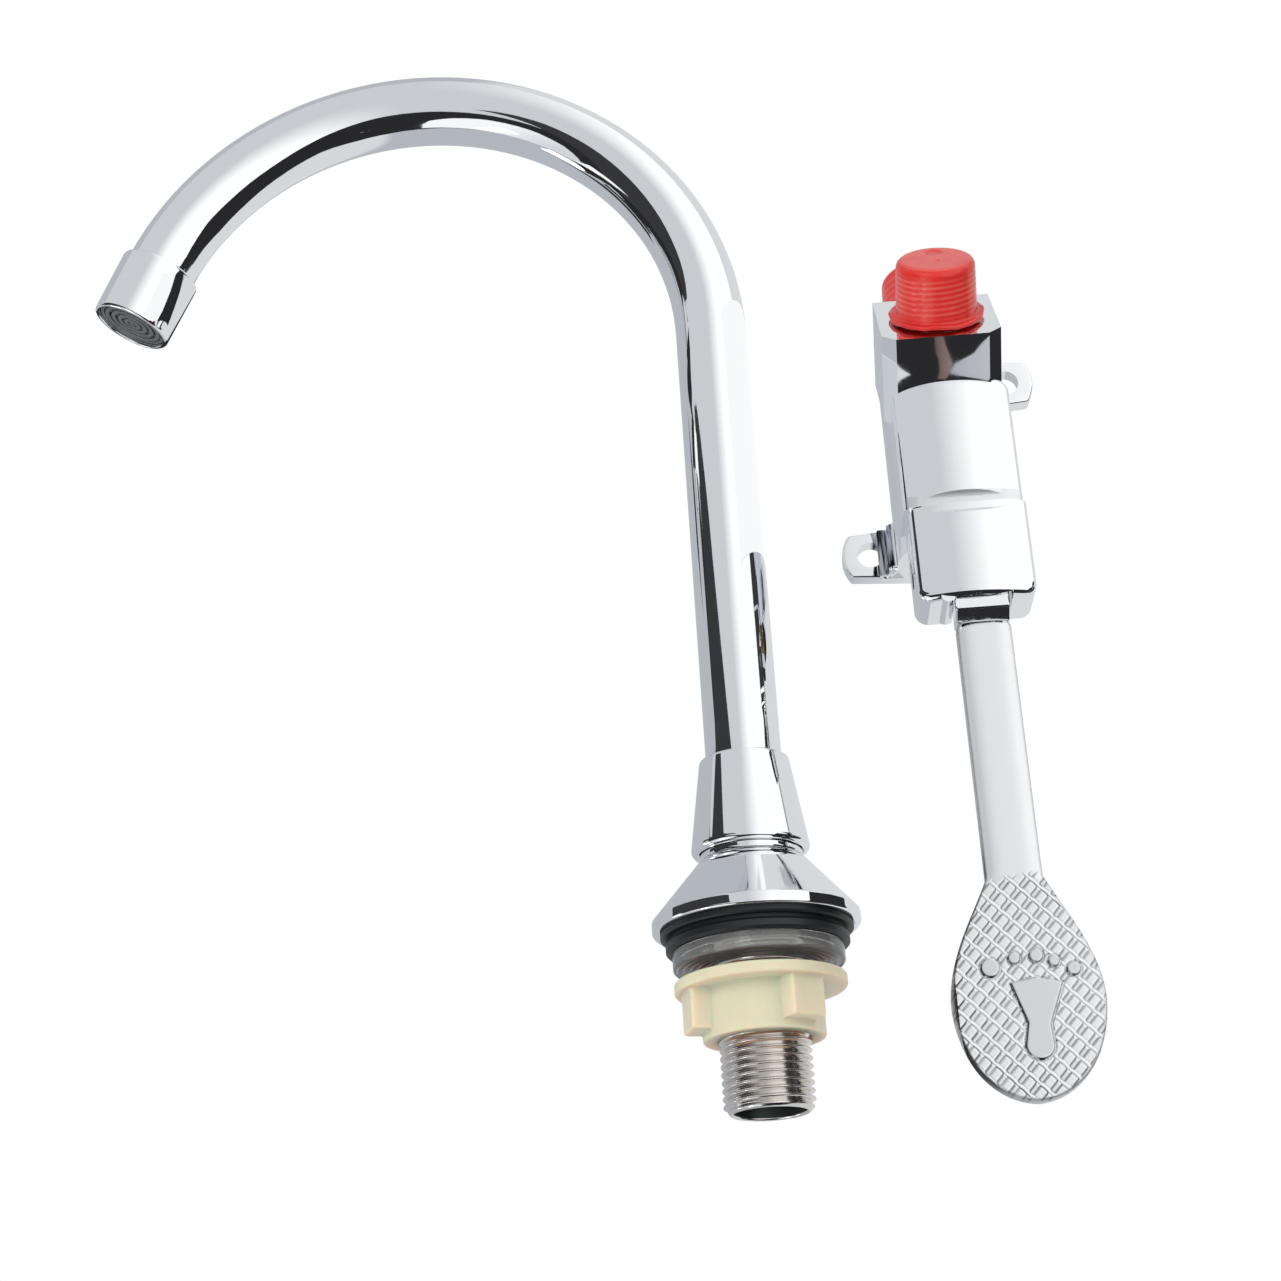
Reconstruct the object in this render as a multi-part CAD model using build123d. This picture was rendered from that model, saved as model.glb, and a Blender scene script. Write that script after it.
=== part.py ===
from build123d import *

import math
import os

# A swivel spout for a sink deck and the pedal valve that feeds it, as one set.
# Millimetres, +Z up. The origin is the centre of the spout's deck seat, on the shank's axis.
# The spout points towards -X. The valve stands beside it at +X, with its wall face towards +Y.

# Gooseneck
tube_od = 18.0
tube_wall = 1.0
arch_radius = 75.3
arch_turn = 155.0
arch_height = 162.0

# Spout foot and its swivel joint
hub_radius = 10.4
neck_ring_radius = 12.1
neck_ring_lap = 1.1
neck_undercut = 0.8
collar_thread_radius = 11.0
hub_top = 33.4
socket_radius = 8.6
socket_floor = 19.5
end_bush_bore_radius = 5.6
end_bush_wall = 1.18
end_bush_flange = 2.05
end_bush_sleeve_length = 4.0
end_bush_funnel = 1.5
thrust_washer_thickness = 0.5
slip_washer_thickness = 0.9
spout_ring_cord = 1.56
spout_ring_heights = (24.5, 29.5)

# Tapered collar
collar_top_radius = 10.7
collar_foot_radius = 13.85
collar_foot = 23.0
collar_height = 23.0
collar_land = 1.2
collar_relief = 1.4

# Conical flange
cone_top = 21.5
cone_top_radius = 12.35
cone_rim_radius = 24.1
cone_rim_top = 7.8
cone_foot = 4.9
cone_wall = 1.55
cone_top_land = 3.0
cone_gasket_recess = 1.9
cone_ledge_width = 3.0

# Shank and backnut
shank_thread_radius = 10.478
shank_thread_pitch = 1.814
shank_thread_depth = 1.162
shank_bore_radius = 8.2
shank_foot = -37.2
shank_foot_land = 0.9
shank_thread_top = 2.0
backnut_seat = -6.8
backnut_flange_radius = 19.8
backnut_flange_thickness = 2.7
backnut_core_radius = 14.0
backnut_core_height = 11.2
backnut_lug_reach = 17.8
backnut_lug_width = 9.2
backnut_lug_height = 9.2
backnut_lug_turns = (-164.0, -54.0, 71.0)

# Seals under the flange
gasket_radius = 22.3
gasket_bead_radius = 21.2
gasket_bead_height = 2.6
gasket_groove_height = 0.8
gasket_groove_depth = 0.7
clear_washer_radius = 19.8
clear_washer_thickness = 4.0
clear_washer_ring_inset = 3.0
clear_washer_ring_width = 1.2
clear_washer_ring_depth = 0.5

# Aerator, measured along the flow from the end of the arch
housing_length = 17.8
housing_radius = 10.4
housing_mouth_radius = 10.2
housing_mouth_wall = 1.2
nose_straight = 8.0
housing_shoulder = 1.5
aerator_washer_thickness = 1.5
aerator_washer_width = 1.7
cartridge_wall = 0.8
cartridge_setback = 1.0
cartridge_ledge_height = 1.0
cartridge_ledge_width = 0.7
grille_thickness = 1.2
grille_rings = 4
grille_spokes = 6
grille_spoke_width = 0.7
grille_bar_share = 0.55
screen_thickness = 0.35
flow_disc_thickness = 1.8
flow_disc_holes = 12
flow_disc_hole_radius = 0.55

# Pedal valve: its own axis and the height of its foot
valve_x = 56.2
valve_foot = 74.4
barrel_radius = 15.2
barrel_foot = 19.0
wall_face = 18.0
foot_pad_width = 22.0
foot_pad_lap = 5.0
pad_crest = 24.0
pad_bow_radius = 36.0
pad_corner_radius = 3.2
pad_edge_radius = 2.2
lower_pad_offset = 0.9
lower_pad_half_width = 13.9
upper_pad_half_width = 14.2
upper_pad_top = 57.0
pad_groove_height = 24.0
pad_groove_radius = 3.4
pad_groove_depth = 1.5
clevis_depth = 17.0
clevis_front_wall = 1.4
slot_lip_radius = 1.6

# Outlet block, tilted forwards
outlet_tilt = 50.0
outlet_offset = -1.4
block_edge_y = -32.3
block_edge_z = 63.5
block_half_width = 14.3
block_face_length = 27.0
block_depth = 22.0
block_edge_chamfer = 3.2
outlet_station = 12.8
outlet_bore_radius = 4.5
outlet_thread_radius = 8.331
outlet_thread_pitch = 1.337
outlet_thread_depth = 0.856
outlet_length = 13.5
outlet_thread_land = 0.9

# Mounting ears
left_ear_offset = 20.4
right_ear_offset = 18.5
ear_low = 28.5
ear_high = 74.0
ear_hole_radius = 3.4
ear_thickness = 4.4
ear_reach = 7.1
ear_tip_round = 1.9
ear_half_height = 5.7
ear_root_half_height = 7.0
ear_root_x = 8.0
ear_root_height = 12.0
ear_root_depth = 6.0
ear_root_chamfer = 2.4
ear_hole_land = 0.9

# Valve bores, seat and inner pieces
gland_radius = 7.4
gland_length = 14.0
gland_slot_width = 1.6
gland_slot_depth = 1.2
outlet_chamber_radius = 7.0
seat_height = 70.0
seat_thickness = 3.0
inlet_chamber_height = 11.0
seat_bore_radius = 4.5
inlet_chamber_radius = 8.5
stem_radius = 2.5
stem_foot = 15.5
head_radius = 6.6
head_thickness = 2.4
head_boss_radius = 3.4
head_boss_height = 2.0
seat_washer_radius = 6.2
seat_washer_thickness = 1.55
gland_ring_cord = 1.56
gland_ring_share = 0.4
gland_outer_ring_cord = 1.2
gland_outer_ring_share = 0.72
nipple_spigot_length = 4.0
nipple_seal_thickness = 1.2
nipple_flats = 23.0
nipple_hex_height = 2.6
inlet_length = 16.0
inlet_recess_depth = 2.5
spring_pocket_radius = 6.0
spring_seat_thickness = 9.0
spring_radius = 4.85
spring_wire = 1.1
spring_turns = 6
inlet_throat_radius = 4.5
strainer_thickness = 0.8
strainer_lip = 2.5
strainer_hole_radius = 0.55
strainer_hole_rings = ((1, 0.0), (6, 1.6), (12, 3.2))

# Caps
cap_wall = 1.0
cap_end_wall = 1.3
cap_brim_width = 1.9
cap_brim_thickness = 1.2
cap_brim_round = 0.2
cap_draft = 0.3
cap_top_break = 0.8
cap_dimple_depth = 0.5
outlet_cap_foot = 0.5
outlet_cap_dimple = (4.4, 1.9)
inlet_cap_dimple = (5.2, 2.2)

# Pedal lever
lever_offset = 2.2
lever_half_width = 6.4
pin_y = -13.0
pin_height = 9.0
pin_radius = 2.0
pin_length = 25.4
lever_hub_radius = 6.0
lever_foot_front = -20.2
lever_foot_chin = 1.2
lever_foot_height = -3.0
lever_foot_step = 0.8
lever_foot_back = 1.5
arm_front = -14.0
arm_thickness = 4.0
arm_top_round = 2.0
arm_length = 65.0
tread_length = 50.2
tread_half_width = 16.9
tread_profile = ((0.65, 0.18), (0.895, 0.365), (1.0, 0.56), (0.925, 0.72), (0.66, 0.89))
tread_rib_height = 0.6
tread_rib_width = 1.0
tread_rib_sets = ((-42.0, 3.8), (51.0, 3.35))
tread_rim = 0.8
print_height = 1.0
print_toes = (
    (-7.8, 20.5, 2.15), (-2.4, 18.7, 1.4), (2.5, 18.4, 1.6), (6.3, 19.8, 1.35), (10.4, 21.8, 1.6)
)
print_sole_top = ((-3.7, 24.0), (1.9, 23.2), (7.5, 24.6))
print_waist = (1.6, 32.8, 2.5)
print_heel = (1.15, 38.2, 3.2)
nose_tip_radius = 2.2
nose_height = 13.0
nose_half_width = 5.0

# Clearances, small edge breaks and the overlap of fused shapes
running_gap = 0.08
fit_gap = 0.02
seat_gap = 0.05
slip_gap = 0.25
side_gap = 0.3
thread_gap = 0.1
ring_gap = 0.04
groove_gap = 0.2
fine_break = 0.4
edge_break = 0.6
overlap = 1.0

tube_radius = tube_od / 2
tube_bore_radius = tube_radius - tube_wall
bush_flange_foot = hub_top + thrust_washer_thickness + seat_gap
tube_foot = bush_flange_foot + end_bush_flange
bush_sleeve_radius = tube_radius + fit_gap + end_bush_wall
bush_top = tube_foot + end_bush_sleeve_length
collar_shoulder = bush_top + slip_washer_thickness + 2 * seat_gap
collar_top = collar_foot + collar_height
neck_ring_top = collar_foot + neck_ring_lap
gasket_top = cone_foot + cone_gasket_recess
cap_clearance = thread_gap + fit_gap
barrel_top = seat_height + inlet_chamber_height
inlet_top = barrel_top + inlet_length
spring_pocket_top = inlet_top - spring_seat_thickness
hex_foot = barrel_top + nipple_seal_thickness
head_foot = seat_height + seat_gap + seat_washer_thickness
spout_ring_middle = socket_radius - ring_gap - spout_ring_cord / 2
housing_bore = housing_mouth_radius - housing_mouth_wall
washer_station = nose_straight + fit_gap + housing_shoulder
cartridge_station = washer_station + aerator_washer_thickness
cartridge_radius = housing_bore - thread_gap
cartridge_mouth = housing_length - cartridge_setback
screen_radius = cartridge_radius - cartridge_wall - thread_gap
screen_ledge = cartridge_mouth - grille_thickness - cartridge_ledge_height
gland_ring_height = barrel_foot + gland_ring_share * gland_length
gland_outer_ring_height = barrel_foot + gland_outer_ring_share * gland_length


def disc(radius, bottom, top):
    return Pos(0, 0, (bottom + top) / 2) * Cylinder(radius, top - bottom)


def ring(outer, inner, bottom, top):
    return disc(outer, bottom, top) - disc(inner, bottom, top)


def slab(x_low, x_high, y_low, y_high, z_low, z_high):
    middle = Pos((x_low + x_high) / 2, (y_low + y_high) / 2, (z_low + z_high) / 2)
    return middle * Box(x_high - x_low, y_high - y_low, z_high - z_low)


def rod_along_x(radius, length):
    return Rot(0, 90, 0) * Cylinder(radius, length)


def turned(outline):
    """Solid turned about Z from (radius, height) points."""
    edge = Polyline(*[(radius, 0, height) for radius, height in outline], close=True)
    return revolve(make_face(edge), Axis.Z)


def thread_points(crest, depth, bottom, top, pitch):
    """Points up one side of a threaded stretch, as rings of the thread's pitch and depth."""
    root = crest - depth
    points = []
    for turn in range(int((top - bottom) / pitch)):
        start = bottom + turn * pitch
        points.append((root, start))
        points.append((crest, start + 0.38 * pitch))
        points.append((crest, start + 0.62 * pitch))
    points.append((root, points[-3][1] + pitch))
    return points


def o_ring(middle_radius, cord, height):
    return Pos(0, 0, height) * Torus(middle_radius, cord / 2)


def hollow_tube(bottom, top):
    return ring(tube_radius, tube_bore_radius, bottom, top)


def nose_place():
    """The end of the arch, with +Z along the flow."""
    turn = math.radians(arch_turn)
    end = (arch_radius * (math.cos(turn) - 1), 0, arch_height + arch_radius * math.sin(turn))
    along = (-math.sin(turn), 0, math.cos(turn))
    return Plane(origin=end, x_dir=(0, 1, 0), z_dir=along).location


def gooseneck_tube():
    section = Pos(0, 0, arch_height) * (Circle(tube_radius) - Circle(tube_bore_radius))
    arch_axis = Axis((-arch_radius, 0, arch_height), (0, -1, 0))
    arch = revolve(section, arch_axis, revolution_arc=arch_turn)
    nose = nose_place() * hollow_tube(0, nose_straight)
    return hollow_tube(tube_foot, arch_height) + arch + nose


def spout_end_bush():
    spigot_radius = socket_radius - running_gap
    spigot_foot = socket_floor + overlap
    outline = [
        (end_bush_bore_radius, spigot_foot),
        (spigot_radius - edge_break, spigot_foot),
        (spigot_radius, spigot_foot + edge_break),
        (spigot_radius, bush_flange_foot),
        (bush_sleeve_radius, bush_flange_foot),
        (bush_sleeve_radius, bush_top),
        (tube_radius + fit_gap, bush_top),
        (tube_radius + fit_gap, tube_foot),
        (end_bush_bore_radius + end_bush_funnel, tube_foot),
        (end_bush_bore_radius, tube_foot - end_bush_funnel),
    ]
    bush = turned(outline)
    groove_floor = spout_ring_middle - spout_ring_cord / 2 - seat_gap
    groove_half = spout_ring_cord / 2 + side_gap
    for height in spout_ring_heights:
        bush -= ring(spigot_radius + overlap, groove_floor, height - groove_half, height + groove_half)
    return bush


def spout_o_rings():
    rings = [o_ring(spout_ring_middle, spout_ring_cord, height) for height in spout_ring_heights]
    return Compound(children=rings)


def thrust_washer():
    bottom = hub_top + seat_gap / 2
    outer = bush_sleeve_radius - groove_gap
    return ring(outer, socket_radius + running_gap, bottom, bottom + thrust_washer_thickness)


def slip_washer():
    bottom = bush_top + seat_gap
    return ring(bush_sleeve_radius, tube_radius + slip_gap, bottom, bottom + slip_washer_thickness)


def swivel_collar():
    cavity_radius = bush_sleeve_radius + groove_gap
    thread_radius = collar_thread_radius + seat_gap
    relief_radius = neck_ring_radius + fine_break
    outline = [
        (relief_radius, collar_foot),
        (collar_foot_radius - fine_break, collar_foot),
        (collar_foot_radius, collar_foot + collar_land),
        (collar_top_radius, collar_top - edge_break),
        (collar_top_radius - edge_break, collar_top),
        (tube_radius + slip_gap, collar_top),
        (tube_radius + slip_gap, collar_shoulder),
        (cavity_radius, collar_shoulder),
        (cavity_radius, hub_top + thread_gap),
        (thread_radius, hub_top + thread_gap),
        (thread_radius, collar_foot + collar_relief),
        (relief_radius, collar_foot + collar_relief),
    ]
    return turned(outline)


def threaded_shank():
    root = shank_thread_radius - shank_thread_depth
    undercut_radius = collar_thread_radius - neck_undercut
    undercut_top = neck_ring_top + neck_undercut
    outline = [(shank_bore_radius, shank_foot), (root - thread_gap, shank_foot)]
    thread_bottom = shank_foot + shank_foot_land
    outline += thread_points(
        shank_thread_radius, shank_thread_depth, thread_bottom, shank_thread_top, shank_thread_pitch
    )
    outline += [
        (root, shank_thread_top + overlap),
        (hub_radius, shank_thread_top + 2 * overlap),
        (hub_radius, cone_top),
        (neck_ring_radius, cone_top),
        (neck_ring_radius, neck_ring_top),
        (undercut_radius, neck_ring_top),
        (undercut_radius, undercut_top),
        (collar_thread_radius, undercut_top + edge_break),
        (collar_thread_radius, hub_top - edge_break),
        (collar_thread_radius - edge_break, hub_top),
        (socket_radius, hub_top),
        (socket_radius, socket_floor),
        (shank_bore_radius, socket_floor),
    ]
    return turned(outline)


def cone_flange():
    rim_bore = gasket_radius + slip_gap
    bore = hub_radius + thread_gap
    outline = [
        (bore, cone_top),
        (cone_top_radius - fine_break, cone_top),
        (cone_top_radius, cone_top - fine_break),
        (cone_rim_radius - fine_break, cone_rim_top + fine_break),
        (cone_rim_radius, cone_rim_top - fine_break),
        (cone_rim_radius, cone_foot + edge_break),
        (cone_rim_radius - edge_break, cone_foot),
        (rim_bore, cone_foot),
        (rim_bore, gasket_top),
        (rim_bore - cone_ledge_width, gasket_top),
        (bore + cone_wall, cone_top - cone_top_land),
        (bore, cone_top - cone_top_land),
    ]
    return turned(outline)


def deck_gasket():
    bore = shank_thread_radius + fine_break
    bead_break = gasket_bead_radius - edge_break
    groove_top = gasket_bead_height + gasket_groove_height
    groove_radius = gasket_bead_radius - gasket_groove_depth
    outline = [
        (bore, 0),
        (bead_break, 0),
        (gasket_bead_radius, edge_break),
        (gasket_bead_radius, gasket_bead_height - edge_break),
        (bead_break, gasket_bead_height),
        (groove_radius, gasket_bead_height),
        (groove_radius, groove_top),
        (gasket_radius - fine_break, groove_top),
        (gasket_radius, groove_top + fine_break),
        (gasket_radius, gasket_top),
        (bore, gasket_top),
    ]
    return turned(outline)


def clear_washer():
    bottom = -clear_washer_thickness
    bore = shank_thread_radius + overlap
    step = clear_washer_radius - clear_washer_ring_inset
    step_top = bottom + clear_washer_ring_depth
    outline = [
        (bore, bottom),
        (step - clear_washer_ring_width, bottom),
        (step - clear_washer_ring_width, step_top),
        (step, step_top),
        (step, bottom),
        (clear_washer_radius - edge_break, bottom),
        (clear_washer_radius, bottom + edge_break),
        (clear_washer_radius, 0),
        (bore, 0),
    ]
    return turned(outline)


def backnut():
    flange_foot = backnut_seat - backnut_flange_thickness
    core_foot = flange_foot - backnut_core_height
    lug_foot = flange_foot - backnut_lug_height
    half = backnut_lug_width / 2
    flange = disc(backnut_flange_radius, flange_foot, backnut_seat)
    nut = fillet(flange.edges().filter_by(GeomType.CIRCLE), edge_break)
    nut += disc(backnut_core_radius, core_foot, flange_foot + overlap)
    lug = slab(0, backnut_lug_reach, -half, half, lug_foot, flange_foot + overlap)
    lug = fillet(lug.edges().filter_by(Axis.Z).sort_by(Axis.X)[-2:], overlap)
    for turn in backnut_lug_turns:
        nut += Rot(0, 0, turn) * lug
    return nut - disc(shank_thread_radius + thread_gap, core_foot, backnut_seat)


def aerator_housing():
    tube_fit = tube_radius + fit_gap
    washer_bore = cartridge_radius - aerator_washer_width
    shoulder_foot = nose_straight + fit_gap
    outline = [
        (tube_fit, 0),
        (housing_radius - 2 * fine_break, 0),
        (housing_radius, 2 * fine_break),
        (housing_mouth_radius, housing_length - fine_break),
        (housing_mouth_radius - fine_break, housing_length),
        (housing_bore + groove_gap, housing_length),
        (housing_bore, housing_length - groove_gap),
        (housing_bore, washer_station),
        (washer_bore, washer_station),
        (washer_bore, shoulder_foot),
        (tube_fit, shoulder_foot),
    ]
    return nose_place() * turned(outline)


def aerator_washer():
    inner = cartridge_radius - aerator_washer_width
    return nose_place() * ring(cartridge_radius, inner, washer_station, cartridge_station)


def aerator_cartridge():
    grille_bottom = cartridge_mouth - grille_thickness
    inner = cartridge_radius - cartridge_wall
    cup = ring(cartridge_radius, inner, cartridge_station, cartridge_mouth)
    cup += ring(cartridge_radius, inner - cartridge_ledge_width, screen_ledge, grille_bottom)
    ring_pitch = inner / (grille_rings + 0.5)
    bar = grille_bar_share * ring_pitch
    for index in range(grille_rings):
        middle = (index + 1) * ring_pitch
        cup += ring(middle + bar / 2, middle - bar / 2, grille_bottom, cartridge_mouth)
    cup += disc(bar / 2, grille_bottom, cartridge_mouth)
    half = grille_spoke_width / 2
    spoke = slab(0, cartridge_radius - groove_gap, -half, half, grille_bottom, cartridge_mouth - side_gap)
    for index in range(grille_spokes):
        cup += Rot(0, 0, 360 / grille_spokes * index) * spoke
    return nose_place() * cup


def aerator_screens():
    upper = screen_ledge - 2 * screen_thickness
    screens = []
    for index in range(2):
        bottom = upper + index * screen_thickness
        radius = screen_radius - thread_gap * index
        screens.append(disc(radius, bottom, bottom + screen_thickness - fit_gap))
    return Compound(children=[nose_place() * screen for screen in screens])


def flow_disc():
    top = screen_ledge - 2 * screen_thickness - fit_gap
    bottom = top - flow_disc_thickness
    plate = disc(screen_radius, bottom, top)
    hole_circle = 2 / 3 * screen_radius
    hole = Pos(hole_circle, 0, 0) * disc(flow_disc_hole_radius, bottom - overlap, top + overlap)
    for index in range(flow_disc_holes):
        plate -= Rot(0, 0, 360 / flow_disc_holes * index) * hole
    return nose_place() * plate


def valve_place():
    return Pos(valve_x, 0, valve_foot)


def block_place():
    """Tilted face of the outlet block: local x is X, y runs up the face, z is the outlet's axis."""
    tilt = math.radians(outlet_tilt)
    along = (0, -math.sin(tilt), math.cos(tilt))
    edge = (outlet_offset, block_edge_y, block_edge_z)
    return Plane(origin=edge, x_dir=(1, 0, 0), z_dir=along).location


def pad(offset, half_width, bottom, top):
    """Bowed front pad of the body, from its flat back on the valve's axis. The end away from the
    groove has rounded corners, and all edges of the front face but the one at the groove are rounded."""
    bow = pad_bow_radius - math.sqrt(pad_bow_radius**2 - half_width**2)
    edge = -pad_crest + bow
    outline = [
        Line((-half_width, 0, bottom), (-half_width, edge, bottom)),
        ThreePointArc((-half_width, edge, bottom), (0, -pad_crest, bottom), (half_width, edge, bottom)),
        Line((half_width, edge, bottom), (half_width, 0, bottom)),
        Line((half_width, 0, bottom), (-half_width, 0, bottom)),
    ]
    solid = extrude(make_face(Curve() + outline), amount=top - bottom, dir=(0, 0, 1))
    free_end = bottom if abs(top - pad_groove_height) < fit_gap else top
    corners = [e for e in solid.edges().filter_by(Axis.Y) if abs(e.center().Z - free_end) < fit_gap]
    solid = fillet(corners, pad_corner_radius)
    front = solid.faces().sort_by(Axis.Y)[0]
    rounded = [e for e in front.edges() if abs(e.center().Z - pad_groove_height) > overlap]
    return Pos(offset, 0, 0) * fillet(rounded, pad_edge_radius)


def ear(height, offset, side):
    tip = offset + ear_reach
    shoulder = tip - ear_tip_round
    outline = [
        Line((ear_root_x, -ear_root_half_height), (shoulder, -ear_half_height)),
        ThreePointArc((shoulder, -ear_half_height), (tip, 0), (shoulder, ear_half_height)),
        Line((shoulder, ear_half_height), (ear_root_x, ear_root_half_height)),
        Line((ear_root_x, ear_root_half_height), (ear_root_x, -ear_root_half_height)),
    ]
    tongue = extrude(make_face(Curve() + outline), amount=ear_thickness)
    tongue = fillet(tongue.edges().filter_by(Axis.Z).sort_by(Axis.X)[-2:], overlap)
    rim = tongue.faces().sort_by(Axis.Z)[-1].edges().sort_by(Axis.X)[1:]
    tongue = fillet(rim, edge_break)
    tongue -= Pos(offset, 0, 0) * disc(ear_hole_radius, -overlap, ear_thickness + overlap)
    root_reach = offset - ear_hole_radius - ear_hole_land
    half = ear_root_height / 2
    root = slab(ear_root_x, root_reach, -half, half, 0, ear_thickness + ear_root_depth)
    root = chamfer(root.edges().filter_by(Axis.Y).sort_by(Axis.X)[-2:].sort_by(Axis.Z)[-1:], ear_root_chamfer)
    solid = tongue + root
    if side < 0:
        solid = mirror(solid, Plane.YZ)
    return Pos(0, wall_face, height) * Rot(90, 0, 0) * solid


def valve_solid():
    body = disc(barrel_radius, barrel_foot, barrel_top)
    half_foot = foot_pad_width / 2
    foot_low = ear_low - foot_pad_lap
    body += slab(-half_foot, half_foot, barrel_radius / 2, wall_face, foot_low, ear_high + foot_pad_lap)
    lower = pad(lower_pad_offset, lower_pad_half_width, 0, pad_groove_height)
    clevis_back = clevis_depth - pad_crest
    reach = 2 * pad_crest
    lower -= slab(-reach, reach, clevis_back, overlap, -overlap, barrel_foot)
    body += lower
    body += pad(0, upper_pad_half_width, pad_groove_height, upper_pad_top)
    groove_y = -pad_crest - pad_groove_radius + pad_groove_depth
    body -= Pos(0, groove_y, pad_groove_height) * rod_along_x(pad_groove_radius, 2 * reach)
    block = slab(-block_half_width, block_half_width, 0, block_face_length, -block_depth, 0)
    corner_edges = block.edges().filter_by(Axis.Z).sort_by(Axis.Y)[:2]
    body += block_place() * chamfer(corner_edges, block_edge_chamfer)
    body += ear(ear_low, left_ear_offset, -1)
    body += ear(ear_high, right_ear_offset, 1)
    return body


def outlet_spigot():
    root = outlet_thread_radius - outlet_thread_depth
    outline = [(0, -overlap), (root, -overlap), (root, outlet_thread_land - thread_gap)]
    outline += thread_points(
        outlet_thread_radius,
        outlet_thread_depth,
        outlet_thread_land,
        outlet_length - outlet_thread_land,
        outlet_thread_pitch,
    )
    outline += [(root - thread_gap, outlet_length), (0, outlet_length)]
    return block_place() * Pos(0, outlet_station, 0) * turned(outline)


def valve_bores():
    bores = disc(gland_radius + running_gap, barrel_foot - overlap, barrel_foot + gland_length)
    bores += disc(outlet_chamber_radius, barrel_foot + gland_length, seat_height - seat_thickness)
    bores += disc(seat_bore_radius, seat_height - seat_thickness - overlap, seat_height + overlap)
    bores += disc(inlet_chamber_radius, seat_height, barrel_top + overlap)
    tilt = math.radians(outlet_tilt)
    reach = (-block_edge_y - outlet_station * math.cos(tilt)) / math.sin(tilt)
    outlet = disc(outlet_bore_radius, -reach, outlet_length + overlap)
    return bores + block_place() * Pos(0, outlet_station, 0) * outlet


def valve_body():
    body = valve_solid() + outlet_spigot()
    body -= valve_bores()
    wrench_room = nipple_flats / 2 + 2 * overlap
    body -= disc(wrench_room, barrel_top, inlet_top)
    slot_half = lever_half_width + side_gap
    slot_left = lever_offset - slot_half
    slot_front = clevis_front_wall - pad_crest
    lip_length = clevis_depth - 2 * clevis_front_wall
    lip_y = slot_front + lip_length / 2
    lip = Rot(90, 0, 0) * Cylinder(slot_lip_radius, lip_length)
    body += Pos(slot_left - slot_lip_radius, lip_y, slot_lip_radius / 2) * lip
    body -= slab(slot_left, lever_offset + slot_half, slot_front, 0, -2 * overlap, barrel_foot - overlap)
    body -= Pos(0, pin_y, pin_height) * rod_along_x(pin_radius + fit_gap, 2 * pin_length)
    return valve_place() * body


def gland_bush():
    bottom = barrel_foot
    half_slot = gland_slot_width / 2
    reach = gland_radius + overlap
    bush = ring(gland_radius, stem_radius + running_gap, bottom, bottom + gland_length - groove_gap)
    bush -= slab(-reach, reach, -half_slot, half_slot, bottom - overlap, bottom + gland_slot_depth)
    inner_groove = stem_radius + running_gap + gland_ring_cord + thread_gap
    inner_half = gland_ring_cord / 2 + groove_gap
    bush -= disc(inner_groove, gland_ring_height - inner_half, gland_ring_height + inner_half)
    outer_groove = gland_radius - gland_outer_ring_cord
    outer_half = gland_outer_ring_cord / 2 + side_gap
    height = gland_outer_ring_height
    bush -= ring(reach, outer_groove, height - outer_half, height + outer_half)
    return valve_place() * bush


def gland_o_rings():
    inner_middle = stem_radius + ring_gap + gland_ring_cord / 2
    inner = o_ring(inner_middle, gland_ring_cord, gland_ring_height)
    outer_middle = gland_radius + ring_gap - gland_outer_ring_cord / 2
    outer = o_ring(outer_middle, gland_outer_ring_cord, gland_outer_ring_height)
    return Compound(children=[valve_place() * inner, valve_place() * outer])


def plunger():
    head_top = head_foot + head_thickness
    stem = disc(stem_radius, stem_foot, head_foot + overlap)
    stem = chamfer(stem.edges().group_by(Axis.Z)[0], fine_break)
    head = disc(head_radius, head_foot, head_top)
    boss = disc(head_boss_radius, head_top, head_top + head_boss_height)
    return valve_place() * (stem + head + boss)


def seat_washer():
    bottom = head_foot - seat_washer_thickness
    return valve_place() * ring(seat_washer_radius, stem_radius + fit_gap, bottom, head_foot)


def return_spring():
    bottom = head_foot + head_thickness + spring_wire / 2 + seat_gap
    top = spring_pocket_top - spring_wire / 2 - seat_gap
    rise = (top - bottom) / spring_turns
    path = Pos(0, 0, bottom) * Helix(pitch=rise, height=top - bottom, radius=spring_radius)
    start = Plane(origin=path @ 0, z_dir=path % 0)
    coil = sweep(start * Circle(spring_wire / 2), path=path, is_frenet=True)
    print("return spring: least gap between turns", round(rise - spring_wire, 2), "mm")
    return valve_place() * coil


def nipple_seal():
    outer = nipple_flats / 2 - groove_gap
    return valve_place() * ring(outer, inlet_chamber_radius + groove_gap, barrel_top, hex_foot)


def inlet_nipple():
    root = shank_thread_radius - shank_thread_depth
    spigot_radius = inlet_chamber_radius - running_gap
    spigot_foot = barrel_top - nipple_spigot_length
    thread_bottom = hex_foot + nipple_hex_height + fine_break
    outline = [(0, spigot_foot), (spigot_radius, spigot_foot), (spigot_radius, hex_foot)]
    outline += [(root, hex_foot), (root, thread_bottom - thread_gap)]
    outline += thread_points(
        shank_thread_radius, shank_thread_depth, thread_bottom, inlet_top - edge_break, shank_thread_pitch
    )
    outline += [(root - thread_gap, inlet_top), (0, inlet_top)]
    nipple = turned(outline)
    hexagon = RegularPolygon(nipple_flats / 2, 6, major_radius=False)
    nipple += Pos(0, 0, hex_foot) * extrude(hexagon, nipple_hex_height)
    nipple -= disc(spring_pocket_radius, spigot_foot - overlap, spring_pocket_top)
    nipple -= disc(inlet_throat_radius, spring_pocket_top - overlap, inlet_top + overlap)
    recess_radius = inlet_throat_radius + strainer_lip
    nipple -= disc(recess_radius, inlet_top - inlet_recess_depth, inlet_top + overlap)
    return valve_place() * nipple


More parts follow.
